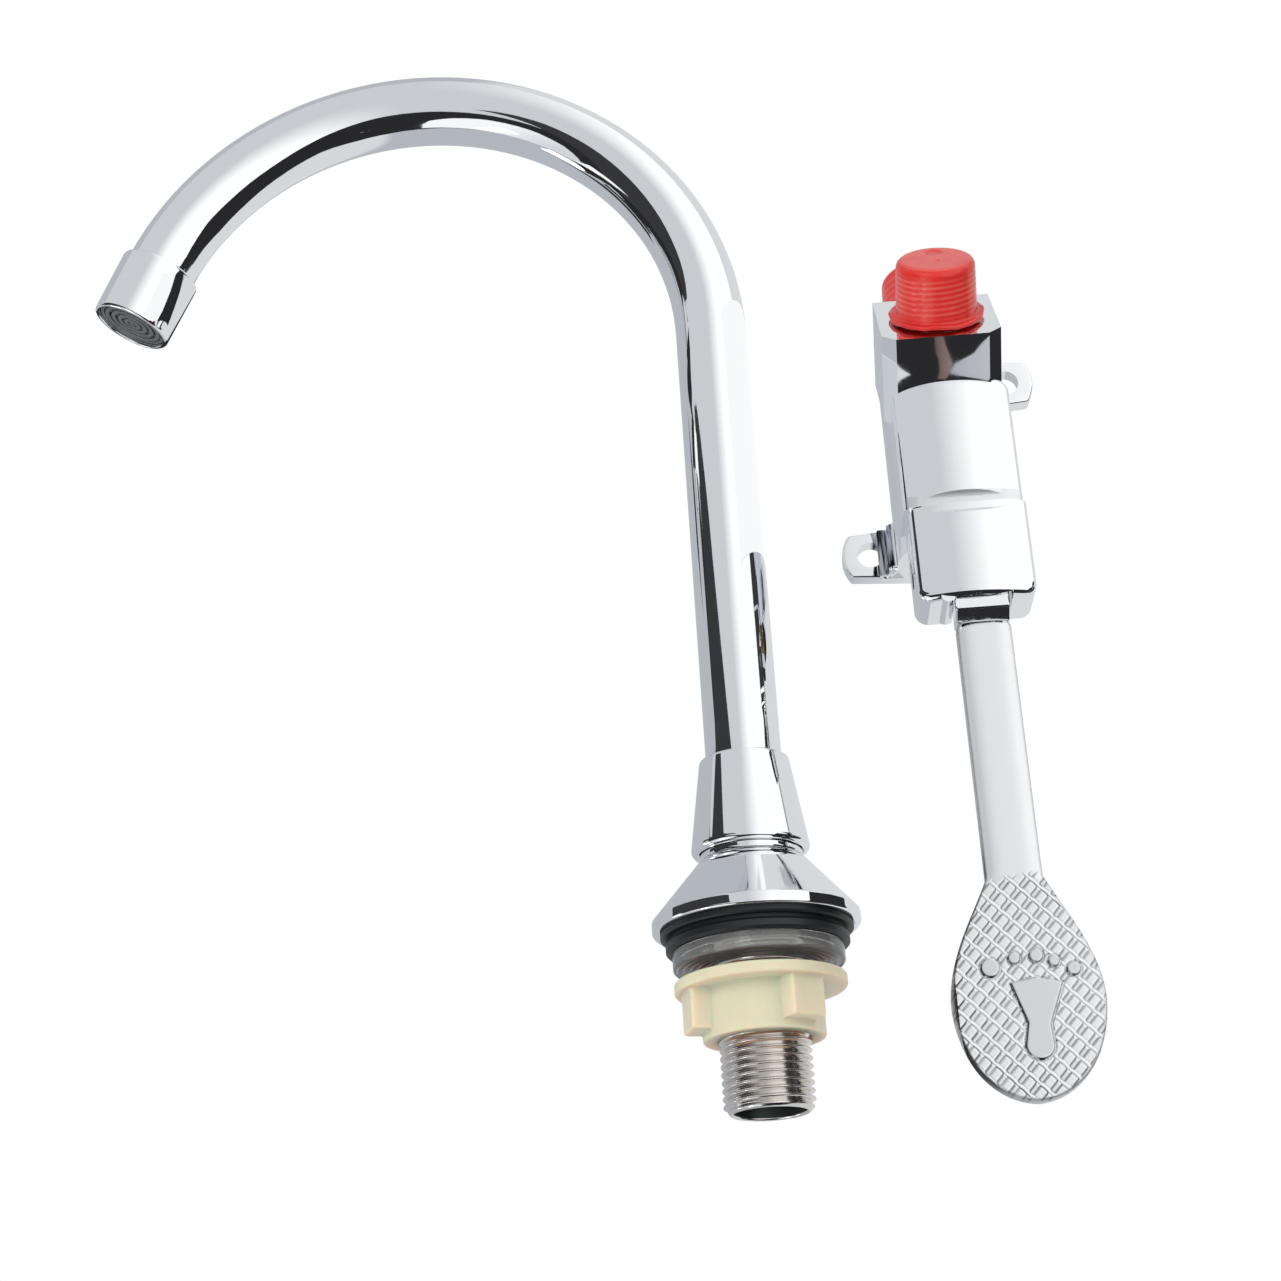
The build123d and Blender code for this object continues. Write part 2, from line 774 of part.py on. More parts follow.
def inlet_strainer():
    bottom = inlet_top - inlet_recess_depth
    top = bottom + strainer_thickness
    plate = disc(inlet_throat_radius + strainer_lip - thread_gap, bottom, top)
    hole = disc(strainer_hole_radius, bottom - overlap, top + overlap)
    for count, radius in strainer_hole_rings:
        for index in range(count):
            plate -= Rot(0, 0, 360 / count * index) * Pos(radius, 0, 0) * hole
    return valve_place() * plate


def cap(thread_radius, foot, top, dimple):
    """Push-on cap over a threaded end, open at its foot, with a round dimple in its end."""
    bore = thread_radius + cap_clearance
    outer = bore + cap_wall
    brim = outer + cap_brim_width
    brim_top = foot + cap_brim_thickness
    outline = [
        (bore, foot),
        (brim, foot),
        (brim + cap_brim_round, foot + cap_brim_thickness / 2),
        (brim, brim_top),
        (outer, brim_top + cap_brim_round),
        (outer - cap_draft, top - cap_top_break),
        (outer - cap_draft - cap_top_break, top),
        (0, top),
        (0, top - cap_end_wall),
        (bore, top - cap_end_wall),
    ]
    dimple_y, dimple_radius = dimple
    solid = turned(outline)
    return solid - Pos(0, dimple_y, 0) * disc(dimple_radius, top - cap_dimple_depth, top + overlap)


def outlet_cap():
    top = outlet_length + cap_end_wall + side_gap
    solid = cap(outlet_thread_radius, outlet_cap_foot, top, outlet_cap_dimple)
    return valve_place() * block_place() * Pos(0, outlet_station, 0) * solid


def inlet_cap():
    foot = hex_foot + nipple_hex_height + side_gap
    top = inlet_top + cap_end_wall + side_gap
    return valve_place() * cap(shank_thread_radius, foot, top, inlet_cap_dimple)


def hinge_pin():
    return valve_place() * Pos(lower_pad_offset, pin_y, pin_height) * rod_along_x(pin_radius, pin_length)


def tread_outline(inset):
    """Egg outline of the tread in (x, z), from the arm down."""
    top = -arm_length
    length = tread_length - inset
    width = tread_half_width - inset
    arm = lever_half_width - inset
    points = [(arm, top)]
    points += [(width * across, top - length * down) for across, down in tread_profile]
    points += [(0, top - length)]
    right = Spline(*points, tangents=[(0.45, -1), (-1, 0)])
    return make_face(Curve() + [right, mirror(right, Plane.YZ), Line((-arm, top), (arm, top))])


def foot_print():
    """Generic footprint: five toes and a waisted sole, in (x, z)."""
    sole = Sketch()
    for x, down, radius in print_toes:
        sole += Pos(x, -arm_length - down) * Circle(radius)
    waist_x, waist_down, waist_radius = print_waist
    heel_x, heel_down, heel_radius = print_heel
    corners = [(x, -arm_length - down) for x, down in print_sole_top]
    corners += [(waist_x + waist_radius, -arm_length - waist_down)]
    corners += [(waist_x - waist_radius, -arm_length - waist_down)]
    sole += make_face(Polyline(*corners, close=True))
    waist = Pos(waist_x, -arm_length - waist_down) * Circle(waist_radius)
    heel = Pos(heel_x, -arm_length - heel_down) * Circle(heel_radius)
    return sole + make_hull(waist.edges() + heel.edges())


def tread_ribs():
    """Two crossing sets of ribs, trimmed to the tread's face."""
    face = tread_outline(tread_rim)
    middle = -arm_length - tread_length / 2
    ribs = Sketch()
    for turn, pitch in tread_rib_sets:
        count = int(tread_length / pitch / 2) + 2
        for index in range(-count, count + 1):
            place = Pos(0, middle) * Rot(0, 0, turn) * Pos(0, index * pitch)
            ribs += place * Rectangle(2 * tread_length, tread_rib_width)
    return face & ribs


def upright(face, thickness, front):
    """A flat shape drawn in (x, z), made a plate whose front face is at y = front."""
    plate = extrude(face, amount=thickness)
    return Pos(0, front + thickness, 0) * Rot(90, 0, 0) * plate


def lever_foot():
    """The lever's bent foot under its hub, drawn in (y, z) and as wide as the lever."""
    arm_back = arm_front + arm_thickness + lever_foot_back
    step = arm_front + lever_foot_step
    outline = [
        (lever_foot_front, pin_height),
        (lever_foot_front, lever_foot_chin),
        (step, lever_foot_height),
        (arm_back, lever_foot_height),
        (arm_back, pin_height),
    ]
    side = Polyline(*[(-lever_half_width, y, z) for y, z in outline], close=True)
    return extrude(make_face(side), amount=2 * lever_half_width, dir=(1, 0, 0))


def pedal_lever():
    arm_back = arm_front + arm_thickness
    half = lever_half_width
    lever = Pos(0, pin_y, pin_height) * rod_along_x(lever_hub_radius, 2 * half)
    lever += lever_foot()
    arm = slab(-half, half, arm_front, arm_back, -arm_length - overlap, lever_foot_height + overlap / 2)
    arm = fillet(arm.edges().filter_by(Axis.Y).sort_by(Axis.Z)[-2:], arm_top_round)
    lever += arm
    lever += upright(tread_outline(0), arm_thickness, arm_front)
    nose_low = nose_height - nose_tip_radius
    nose_high = nose_height + nose_tip_radius
    lever += slab(-nose_half_width, nose_half_width, pin_y, 0, nose_low, nose_high)
    lever += Pos(0, 0, nose_height) * rod_along_x(nose_tip_radius, 2 * nose_half_width)
    lever += upright(tread_ribs(), tread_rib_height + thread_gap, arm_front - tread_rib_height)
    lever += upright(foot_print(), print_height + thread_gap, arm_front - print_height)
    lever -= Pos(0, pin_y, pin_height) * rod_along_x(pin_radius + running_gap, 3 * half)
    return valve_place() * Pos(lever_offset, 0, 0) * lever


pieces = {
    "gooseneck_tube": gooseneck_tube,
    "spout_end_bush": spout_end_bush,
    "spout_o_rings": spout_o_rings,
    "thrust_washer": thrust_washer,
    "slip_washer": slip_washer,
    "swivel_collar": swivel_collar,
    "threaded_shank": threaded_shank,
    "cone_flange": cone_flange,
    "deck_gasket": deck_gasket,
    "clear_washer": clear_washer,
    "backnut": backnut,
    "aerator_housing": aerator_housing,
    "aerator_washer": aerator_washer,
    "aerator_cartridge": aerator_cartridge,
    "aerator_screens": aerator_screens,
    "flow_disc": flow_disc,
    "valve_body": valve_body,
    "gland_bush": gland_bush,
    "gland_o_rings": gland_o_rings,
    "plunger": plunger,
    "seat_washer": seat_washer,
    "return_spring": return_spring,
    "nipple_seal": nipple_seal,
    "inlet_nipple": inlet_nipple,
    "inlet_strainer": inlet_strainer,
    "inlet_cap": inlet_cap,
    "outlet_cap": outlet_cap,
    "hinge_pin": hinge_pin,
    "pedal_lever": pedal_lever,
}

os.makedirs("parts", exist_ok=True)
for name, make in pieces.items():
    export_step(make(), f"parts/{name}.step")
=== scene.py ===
import math

import bmesh
import bpy
import numpy as np
from mathutils import Matrix, Vector


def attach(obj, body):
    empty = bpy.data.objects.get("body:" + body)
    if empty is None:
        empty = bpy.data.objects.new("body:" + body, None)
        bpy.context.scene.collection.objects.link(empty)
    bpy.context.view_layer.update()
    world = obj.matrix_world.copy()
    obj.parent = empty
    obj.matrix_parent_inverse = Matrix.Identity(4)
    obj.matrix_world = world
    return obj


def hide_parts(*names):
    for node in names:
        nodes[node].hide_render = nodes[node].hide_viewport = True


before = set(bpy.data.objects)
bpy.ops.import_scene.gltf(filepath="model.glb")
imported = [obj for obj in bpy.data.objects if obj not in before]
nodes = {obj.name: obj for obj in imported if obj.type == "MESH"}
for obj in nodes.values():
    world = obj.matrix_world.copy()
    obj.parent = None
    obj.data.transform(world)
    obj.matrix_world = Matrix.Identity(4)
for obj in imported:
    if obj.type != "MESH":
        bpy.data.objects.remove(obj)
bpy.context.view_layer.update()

# Camera.
# Stands half a metre in front of the set and a little below the shank's foot, looking up. Its place, turn
# and focal length come from a fit to the spout's outline in the photo.
camera_place = (-0.00201, -0.50798, -0.12823)
camera_right = (0.99648553, 0.0631349, -0.05505056)
camera_up = (0.07475658, -0.37380585, 0.9244894)
camera_back = (0.03778933, -0.9253557, -0.37721187)
camera_data = bpy.data.cameras.new("camera")
camera_data.sensor_width = 36.0
camera_data.lens = 63.54
camera_data.clip_start = 0.01
camera_data.clip_end = 20.0
camera = bpy.data.objects.new("camera", camera_data)
camera_turn = Matrix((camera_right, camera_up, camera_back)).transposed().to_4x4()
camera.matrix_world = Matrix.Translation(camera_place) @ camera_turn
bpy.context.scene.collection.objects.link(camera)
bpy.context.scene.camera = camera
bpy.context.scene.view_settings.view_transform = "Standard"


# Studio.
# A pale floor well below the set, soft lamps, a white surround, and the cards and flags round the set that
# bright plating shows as its grey and black bands. Only glossy faces see the cards. All sizes are in metres.


def linear(hex_colour):
    """Linear colour of an sRGB hex value: c / 12.92 below 0.04045, else ((c + 0.055) / 1.055) ** 2.4."""
    channels = [int(hex_colour[start:start + 2], 16) / 255 for start in (1, 3, 5)]
    return [c / 12.92 if c < 0.04045 else ((c + 0.055) / 1.055) ** 2.4 for c in channels] + [1.0]


def add(tree, kind, settings=None, **inputs):
    """Adds a node with its settings. An input goes by its name, or by its number as in i0, and takes a value
    or a (node, output) pair to link from."""
    made = tree.nodes.new(kind)
    for key, value in (settings or {}).items():
        setattr(made, key, value)
    for key, value in inputs.items():
        numbered = key[0] == "i" and key[1:].isdigit()
        socket = made.inputs[int(key[1:]) if numbered else key.replace("_", " ")]
        if isinstance(value, tuple) and isinstance(value[0], bpy.types.Node):
            tree.links.new(value[0].outputs[value[1]], socket)
        else:
            socket.default_value = value
    return made


def material(name):
    """A new material and its node tree, emptied."""
    made = bpy.data.materials.new(name)
    made.use_nodes = True
    made.node_tree.nodes.clear()
    return made, made.node_tree


def put_mesh(name, points, faces, smooth=True):
    """A mesh object at the origin from an array of points and an array or list of faces."""
    mesh = bpy.data.meshes.new(name)
    mesh.from_pydata(points.tolist(), [], [list(map(int, face)) for face in faces])
    mesh.polygons.foreach_set("use_smooth", np.full(len(mesh.polygons), smooth))
    mesh.update()
    made = bpy.data.objects.new(name, mesh)
    bpy.context.scene.collection.objects.link(made)
    return made


def grid_faces(rows, columns, close_rows=False, close_columns=False):
    """Quads of a grid of points numbered row by row, joined round where a direction is closed."""
    down = np.arange(rows if close_rows else rows - 1)
    across = np.arange(columns if close_columns else columns - 1)
    r, c = [v.ravel() for v in np.meshgrid(down, across, indexing="ij")]
    below, right = (r + 1) % rows, (c + 1) % columns
    return np.stack([r * columns + c, r * columns + right, below * columns + right, below * columns + c], 1)


# The surround lights the set a little less brightly than the camera and the glossy faces see it.
lighting_strength, seen_strength = 0.76, 1.0
world = bpy.data.worlds.new("white surround")
bpy.context.scene.world = world
world.use_nodes = True
tree = world.node_tree
tree.nodes.clear()
ray = add(tree, "ShaderNodeLightPath")
either = {"operation": "MAXIMUM"}
seen = add(tree, "ShaderNodeMath", either, i0=(ray, "Is Camera Ray"), i1=(ray, "Is Glossy Ray"))
seen = add(tree, "ShaderNodeMath", either, i0=(seen, 0), i1=(ray, "Is Transmission Ray"))
surround_strength = add(tree, "ShaderNodeMapRange", None, Value=(seen, 0),
                        To_Min=lighting_strength, To_Max=seen_strength)
surround = add(tree, "ShaderNodeBackground", None, Color=(1, 1, 1, 1), Strength=(surround_strength, 0))
add(tree, "ShaderNodeOutputWorld", None, Surface=(surround, 0))

floor_height = -0.32
floor_half = 1.6
corners = np.array([[-1, -1, 0], [1, -1, 0], [1, 1, 0], [-1, 1, 0]]) * floor_half
floor = put_mesh("floor", corners + [0, 0, floor_height], [[0, 1, 2, 3]], smooth=False)
floor_paint = bpy.data.materials.new("matt white studio board")
floor_paint.use_nodes = True
floor_shader = floor_paint.node_tree.nodes["Principled BSDF"]
floor_shader.inputs["Base Color"].default_value = linear("#F4F4F3")
floor_shader.inputs["Roughness"].default_value = 0.9
floor.data.materials.append(floor_paint)
floor.visible_glossy = False


def lamp(name, place, aim, size, power):
    """A soft square lamp that faces its aim. Its power is in watts."""
    data = bpy.data.lights.new(name, "AREA")
    data.size = size
    data.energy = power
    made = bpy.data.objects.new(name, data)
    made.location = place
    towards = Vector(aim) - made.location
    made.rotation_euler = towards.to_track_quat("-Z", "Y").to_euler()
    made.visible_glossy = False
    bpy.context.scene.collection.objects.link(made)


lamp("key lamp", place=(-0.45, -0.8, 0.12), aim=(0, 0, 0.05), size=0.6, power=5.0)
lamp("fill lamp", place=(0.7, -0.5, 0.5), aim=(0, 0, 0.1), size=0.7, power=1.8)


def card_paint(name, hex_left, hex_right, start=0.0, end=1.0, strength=1.0):
    """A card's even glow, from one colour to another across its X between start and end."""
    paint, tree = material(name)
    where = add(tree, "ShaderNodeTexCoord")
    axes = add(tree, "ShaderNodeSeparateXYZ", None, Vector=(where, "Object"))
    share = add(tree, "ShaderNodeMapRange", None, Value=(axes, "X"), From_Min=start, From_Max=end)
    colour = add(tree, "ShaderNodeMix", {"data_type": "RGBA"}, Factor=(share, 0),
                 i6=linear(hex_left), i7=linear(hex_right))
    glow = add(tree, "ShaderNodeEmission", None, Color=(colour, 2), Strength=strength)
    add(tree, "ShaderNodeOutputMaterial", None, Surface=(glow, 0))
    return paint


def reflected_only(card, paint):
    """Gives a card its glow and hides it from all but glossy rays."""
    card.data.materials.append(paint)
    card.visible_camera = False
    card.visible_diffuse = False
    card.visible_shadow = False
    card.visible_transmission = False


def evenly(outline, count):
    """Points at even distances along a line of corners: its running length is cut into equal steps."""
    outline = np.array(outline, float)
    steps = np.hypot(*np.diff(outline, axis=0).T)
    at = np.concatenate([[0], np.cumsum(steps)])
    wanted = np.linspace(0, at[-1], count)
    return np.stack([np.interp(wanted, at, outline[:, axis]) for axis in (0, 1)], 1)


def dome_card(name, inner, outer, paint, radius, side=-1, rows=10, columns=72):
    """A strip of a dome round the set, between two outlines. An outline is given in degrees across and up
    from the dome's pole on Y: a point at (a, b) stands hypot(a, b) degrees off the pole, towards that
    direction. The pole is on the camera's side where side is -1, and behind the set where it is 1."""
    share = np.linspace(0, 1, rows)[:, None, None]
    flat = (1 - share) * evenly(inner, columns) + share * evenly(outer, columns)
    turn = np.hypot(flat[..., 0], flat[..., 1])
    reach = np.sin(np.radians(turn)) / np.maximum(turn, 1e-6)
    way = np.stack([flat[..., 0] * reach, side * np.cos(np.radians(turn)), flat[..., 1] * reach], -1)
    card = put_mesh(name, (way * radius).reshape(-1, 3), grid_faces(rows, columns))
    reflected_only(card, paint)


softbox_radius, flag_radius, window_radius, streak_radius = 3.0, 2.8, 2.7, 2.6
around = np.radians(np.linspace(0, 360, 73))
rim = np.stack([np.sin(around), np.cos(around)], 1)
softbox_cloth = card_paint("softbox cloth", "#C8CACD", "#FFFFFF", -0.35, 0.9, 1.08)
dome_card("front softbox", rim * 0.01, rim * 90, softbox_cloth, softbox_radius)
table_board = card_paint("table board", "#B8BCC2", "#DCDEDF", -0.1, 0.1)
dome_card("table card", rim * 0.01, rim * 91, table_board, softbox_radius, side=1)
flag_inner = [
    (-77, 44), (-70, 31), (-62, 22), (-54, 11), (-46, 0), (-38, -10), (-30, -20), (-21, -27), (-10, -31),
    (0, -33), (10, -37), (22, -41), (35, -42.5), (48, -41), (56, -30), (62, -17), (72, -9), (81, -2),
    (80, 3), (70, 8), (60, 20), (70, 28), (81, 33),
]
flag_outer = [
    (-78, 45), (-81, 36), (-84, 24), (-86, 8), (-87, -5), (-85, -20), (-77, -42), (-65, -60), (-45, -79),
    (-20, -93), (0, -99), (20, -98), (45, -84), (65, -62), (80, -41), (88, -15), (89, 5), (87, 22), (83, 34),
]
dome_card("black flag", flag_inner, flag_outer, card_paint("black cloth", "#2A2A2C", "#2A292C"), flag_radius)
window_inner = [
    (-83, -31), (-70, -27), (-56, -25), (-44, -28), (-33, -38), (-24, -50), (-18, -62), (-17, -75),
    (-19, -88),
]
window_outer = [
    (-84, -33), (-80, -41), (-73, -53), (-65, -62), (-56, -70), (-46, -77), (-35, -83), (-27, -86),
    (-21, -88),
]
window_light = card_paint("window light", "#D8DBDF", "#FFFFFF", -2.3, -1.6)
dome_card("window card", window_inner, window_outer, window_light, window_radius)
streak_left = [
    (9.24, -68.60), (9.26, -68.83), (9.31, -69.11), (9.44, -69.38), (9.48, -69.66), (9.36, -69.95),
]
streak_right = [
    (9.61, -68.56), (9.71, -68.84), (9.86, -69.17), (9.99, -69.46), (9.89, -69.70), (9.70, -69.92),
]
brown_streak = card_paint("brown streak", "#5A4844", "#94827E", 0.32, 0.35)
dome_card("streak card", streak_left, streak_right, brown_streak, streak_radius, columns=30)
facet_low = [
    (9.89, -69.73), (10.20, -69.78), (10.65, -69.82), (11.10, -69.86), (11.38, -69.90), (11.56, -69.66),
]
facet_top = [
    (9.89, -69.69), (10.06, -69.44), (10.42, -69.26), (10.81, -69.08), (11.09, -68.77), (11.52, -68.40),
]
grey_facet = card_paint("grey facet", "#AEB0B7", "#C4C6CB", 0.34, 0.41)
dome_card("facet card", facet_low, facet_top, grey_facet, streak_radius, columns=40)
wedge_top = [(7.60, -69.45), (7.84, -69.65), (8.03, -69.75), (8.26, -69.84)]
wedge_low = [(7.60, -70.20), (7.83, -70.02), (8.03, -69.93), (8.26, -69.85)]
white_wedge = card_paint("white wedge", "#D8DADC", "#F2F3F3", 0.26, 0.3)
dome_card("wedge card", wedge_top, wedge_low, white_wedge, streak_radius, columns=20)
back_inner = [
    (27, -85), (44, -74), (50, -62), (55.5, -50.5), (61, -37), (62, -28), (62.5, -18.7), (65, -9), (66, -1),
]
back_outer = [
    (30, -86), (47, -77), (57, -70), (68, -59), (78, -45), (84, -33), (87, -22), (89.5, -8), (89.5, 0),
]
near_black = card_paint("near black cloth", "#29292B", "#2C2B2E")
dome_card("back black flag", back_inner, back_outer, near_black, flag_radius, side=1)
strip_light = card_paint("strip light", "#FFFFFF", "#FFFFFF", strength=3.5)
strip_left, strip_right = [(-78, -25), (-74, -46)], [(-70, -25), (-66, -46)]
dome_card("strip light", strip_left, strip_right, strip_light, streak_radius, side=1)
pane_left, pane_right = [(-56, -52), (-53, -69)], [(-47, -50), (-44, -69)]
dome_card("window pane", pane_left, pane_right, strip_light, streak_radius)


def standing_card(name, paint, heights, left, right, radius, columns=25):
    """A card that stands round the shank at a radius. At each height its edges are at left and right degrees
    from the camera's side, towards +X. A point of it is (r sin a, -r cos a, z)."""
    share = np.linspace(0, 1, columns)[None, :]
    turn = np.radians(np.array(left)[:, None] * (1 - share) + np.array(right)[:, None] * share)
    height = np.array(heights)[:, None] + 0 * turn
    points = np.stack([np.sin(turn) * radius, -np.cos(turn) * radius, height], -1)
    card = put_mesh(name, points.reshape(-1, 3), grid_faces(len(heights), columns))
    reflected_only(card, paint)


grey_black = card_paint("grey black cloth", "#38383A", "#3A393C")
flag_heights = (0.445, 0.423, 0.400, 0.377, 0.355, 0.334, 0.313, 0.291, 0.270, 0.250, 0.242, 0.200, 0.055)
flag_left = (-77, -79, -80, -81, -82, -83, -84, -85, -86, -90, -101, -101, -101)
flag_right = (-68, -61, -56, -52, -50, -47, -44, -41, -38, -35, -33, -28, -24)
standing_card("left black flag", grey_black, flag_heights, flag_left, flag_right, radius=0.584)
low_heights = (0.018, -0.012, -0.05)
standing_card("right black flag", near_black, low_heights, (46, 44, 44), (88, 92, 92), radius=0.045)


def ruled_card(name, paint, left, right):
    """A card ruled between two lines of points: each point of one is joined straight to its partner."""
    points = np.stack([np.array(left, float), np.array(right, float)], 1)
    card = put_mesh(name, points.reshape(-1, 3), grid_faces(len(left), 2))
    reflected_only(card, paint)


# The divider stands between the spout and the valve, white towards the spout and grey towards the valve.
white_board = card_paint("white board", "#FFFFFF", "#FFFFFF", strength=1.02)
grey_board = card_paint("grey board", "#C6CAD0", "#D2D6DA", 0.0, 0.03)
divider_heights, divider_depths = (0.10, 0.172), (-0.02, 0.03)
for name, paint, place_x in (("divider card", white_board, 0.0125), ("divider back", grey_board, 0.0128)):
    edges = [[(place_x, depth, height) for height in divider_heights] for depth in divider_depths]
    ruled_card(name, paint, *edges)
mouth_heights, mouth_depth = (0.16, 0.208), 0.04
mouth_edges = [[(place_x, mouth_depth, height) for height in mouth_heights] for place_x in (-0.195, -0.13)]
ruled_card("mouth flag", near_black, *mouth_edges)

# A flag and a board beside the spout's end, with their corners in millimetres. They share the flag's front
# edge from its eighth corner down.
flag_front = np.array([
    (-87.3, -25.2, 208.9), (-90.7, -25.8, 203.0), (-93.9, -21.5, 199.0), (-98.3, -19.3, 196.3),
    (-102.0, -19.3, 194.8), (-103.4, -14.8, 192.0), (-104.6, -11.1, 190.2), (-107.9, -17.9, 186.9),
    (-108.0, -11.9, 181.5), (-109.6, -7.5, 175.9), (-111.1, -7.2, 172.6),
])
flag_back = np.array([
    (-83.5, -0.5, 196.3), (-86.4, -1.3, 195.5), (-90.3, 4.9, 195.3), (-96.4, 11.6, 195.4),
    (-100.8, 13.6, 194.6), (-102.8, 9.7, 192.1), (-103.8, 1.5, 189.7), (-104.3, -4.7, 186.9),
    (-106.8, 5.1, 183.1), (-111.3, 12.6, 179.3), (-115.7, 17.7, 176.5),
])
ruled_card("spout end flag", near_black, flag_front * 0.001, flag_back * 0.001)
board_edge = np.array([
    (-120.5, -33.2, 190.5), (-120.5, -31.4, 184.6), (-121.8, -30.3, 178.6), (-123.7, -31.4, 174.0),
])
ruled_card("spout end board", white_board, board_edge * 0.001, flag_front[7:] * 0.001)


# Bright plating on brass.
# Polished brass tube and turned parts with nickel and decorative chromium over them, which give a mirror with
# a cold cast. Hand buffing leaves a faint long waviness, and wiping leaves thin smears that dull the mirror.


def plating(name, colour, gloss, smear, wave_height):
    """Polished plating: a mirror with smears about 15 mm long, 65 to the metre, and buffing waves about 12 mm
    apart, 80 to the metre. gloss is its least roughness, and smear what a smear adds."""
    made, tree = material(name)
    where = add(tree, "ShaderNodeTexCoord")
    smears = add(tree, "ShaderNodeTexNoise", None, Vector=(where, "Object"),
                 Scale=65.0, Detail=4.0, Roughness=0.6)
    dulled = add(tree, "ShaderNodeMapRange", None, Value=(smears, 0),
                 From_Min=0.45, From_Max=0.75, To_Min=gloss, To_Max=gloss + smear)
    waves = add(tree, "ShaderNodeTexNoise", None, Vector=(where, "Object"), Scale=80.0, Detail=1.0)
    relief = add(tree, "ShaderNodeBump", None, Height=(waves, 0), Strength=0.25, Distance=wave_height)
    shader = add(tree, "ShaderNodeBsdfPrincipled", None, Base_Color=linear(colour),
                 Roughness=(dulled, 0), Normal=(relief, 0), Metallic=1.0)
    add(tree, "ShaderNodeOutputMaterial", None, Surface=(shader, 0))
    return made


def paint_nodes(finish, *names):
    """Gives CAD nodes their finish."""
    for name in names:
        nodes[name].data.materials.clear()
        nodes[name].data.materials.append(finish)


bright_chrome = plating("bright chromium plate", "#F6F7F9", 0.03, 0.05, 0.00004)
paint_nodes(bright_chrome, "gooseneck_tube", "inlet_nipple")


# Pedal lever.
# A zinc casting with bright chromium plate, on the hinge pin: hub, bent foot and nose in one head, and an arm
# that runs down into an egg-shaped tread with a crossed relief and a raised footprint. Shade beside and on
# the relief's bars and on its pads is painted darker into the plate's colour, with a painted highlight on its
# crests, and the tread's tumbled rim is duller. From here on, pieces are sized in millimetres.
soft_chrome = plating("chromium plate on a zinc casting", "#F3F4F5", 0.10, 0.06, 0.00004)
rim_dullness = 0.45
tree = soft_chrome.node_tree
# The attribute darkens the plate's colour as painted shade of the tread's relief, and lightens it as a
# painted highlight on the crests.
painted_relief_shade = add(tree, "ShaderNodeAttribute", {"attribute_name": "painted_light_tone"})
skin = add(tree, "ShaderNodeMix", {"data_type": "RGBA"}, Factor=(painted_relief_shade, "Fac"),
           i6=linear("#77787B"), i7=linear("#ECEDEE"))
lever_shader = next(n for n in tree.nodes if n.type == "BSDF_PRINCIPLED")
tree.links.new(skin.outputs[2], lever_shader.inputs["Base Color"])
smeared = lever_shader.inputs["Roughness"].links[0].from_node
tumbled = add(tree, "ShaderNodeAttribute", {"attribute_name": "edge"})
dull = add(tree, "ShaderNodeMath", {"operation": "MULTIPLY_ADD"},
           i0=(tumbled, "Fac"), i1=rim_dullness, i2=(smeared, 0))
tree.links.new(dull.outputs[0], lever_shader.inputs["Roughness"])


def dress(piece, finish, body, *stands_for):
    """Gives a new piece its finish, the body it rides and the CAD nodes it stands for."""
    piece.data.materials.append(finish)
    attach(piece, body)
    if stands_for:
        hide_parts(*stands_for)


def closed_mesh(name, points, faces):
    """A smooth mesh from points in millimetres, with every normal turned outwards."""
    made = put_mesh(name, np.asarray(points).reshape(-1, 3) * 0.001, faces)
    shell = bmesh.new()
    shell.from_mesh(made.data)
    bmesh.ops.recalc_face_normals(shell, faces=shell.faces)
    shell.to_mesh(made.data)
    shell.free()
    return made


def put_values(piece, name, values):
    """Stores one value a point, which a material reads as an attribute."""
    mark = piece.data.attributes.new(name, "FLOAT", "POINT")
    mark.data.foreach_set("value", values.ravel())


def arc(middle, radius, start, end, count):
    """Points (a + r cos t, b + r sin t) round a middle (a, b), for t from start to end degrees."""
    turn = np.radians(np.linspace(start, end, count))
    return np.stack([middle[0] + radius * np.cos(turn), middle[1] + radius * np.sin(turn)], 1)


def soft_step(value, width):
    """0 below -width / 2, 1 above width / 2, and 3 s^2 - 2 s^3 between."""
    s = np.clip(value / width + 0.5, 0, 1)
    return s * s * (3 - 2 * s)


lever_x, lever_half, nose_half = 58.4, 6.4, 5.0
valve_foot = 74.4
head_side = np.vstack([
    [(-20.2, 9), (-16.8, -0.55), (-13.2, -3.0), (-8.5, -3.0)],
    arc((-13, 9), 6.0, -41.4, 180, 40),
])
nose_side = np.vstack([[(-13, 15.2), (-13, 10.8)], arc((0, 13), 2.2, -90, 90, 16)])
head_points, head_faces, start = [], [], 0
for side, half in ((head_side, lever_half), (nose_side, nose_half)):
    count = len(side)
    ends = np.repeat([-half, half], count)[:, None]
    head_points.append(np.hstack([ends + lever_x, np.tile(side, (2, 1)) + [0, valve_foot]]))
    head_faces += (grid_faces(2, count, close_columns=True) + start).tolist()
    head_faces += [list(range(start, start + count)), list(range(start + count, start + 2 * count))]
    start += 2 * count
lever_head = closed_mesh("lever_head", np.vstack(head_points), head_faces)
soften = lever_head.modifiers.new("soft edges", "BEVEL")
soften.width = 0.0005
soften.segments = 3
soften.angle_limit = math.radians(30)
soften.harden_normals = True
dress(lever_head, bright_chrome, "pedal", "pedal_lever")

arm_top, arm_foot, tread_length, tread_half = -2.5, -65.0, 50.2, 16.9
arm_front, arm_side, arm_back = -14.0, -12.2, -10.0


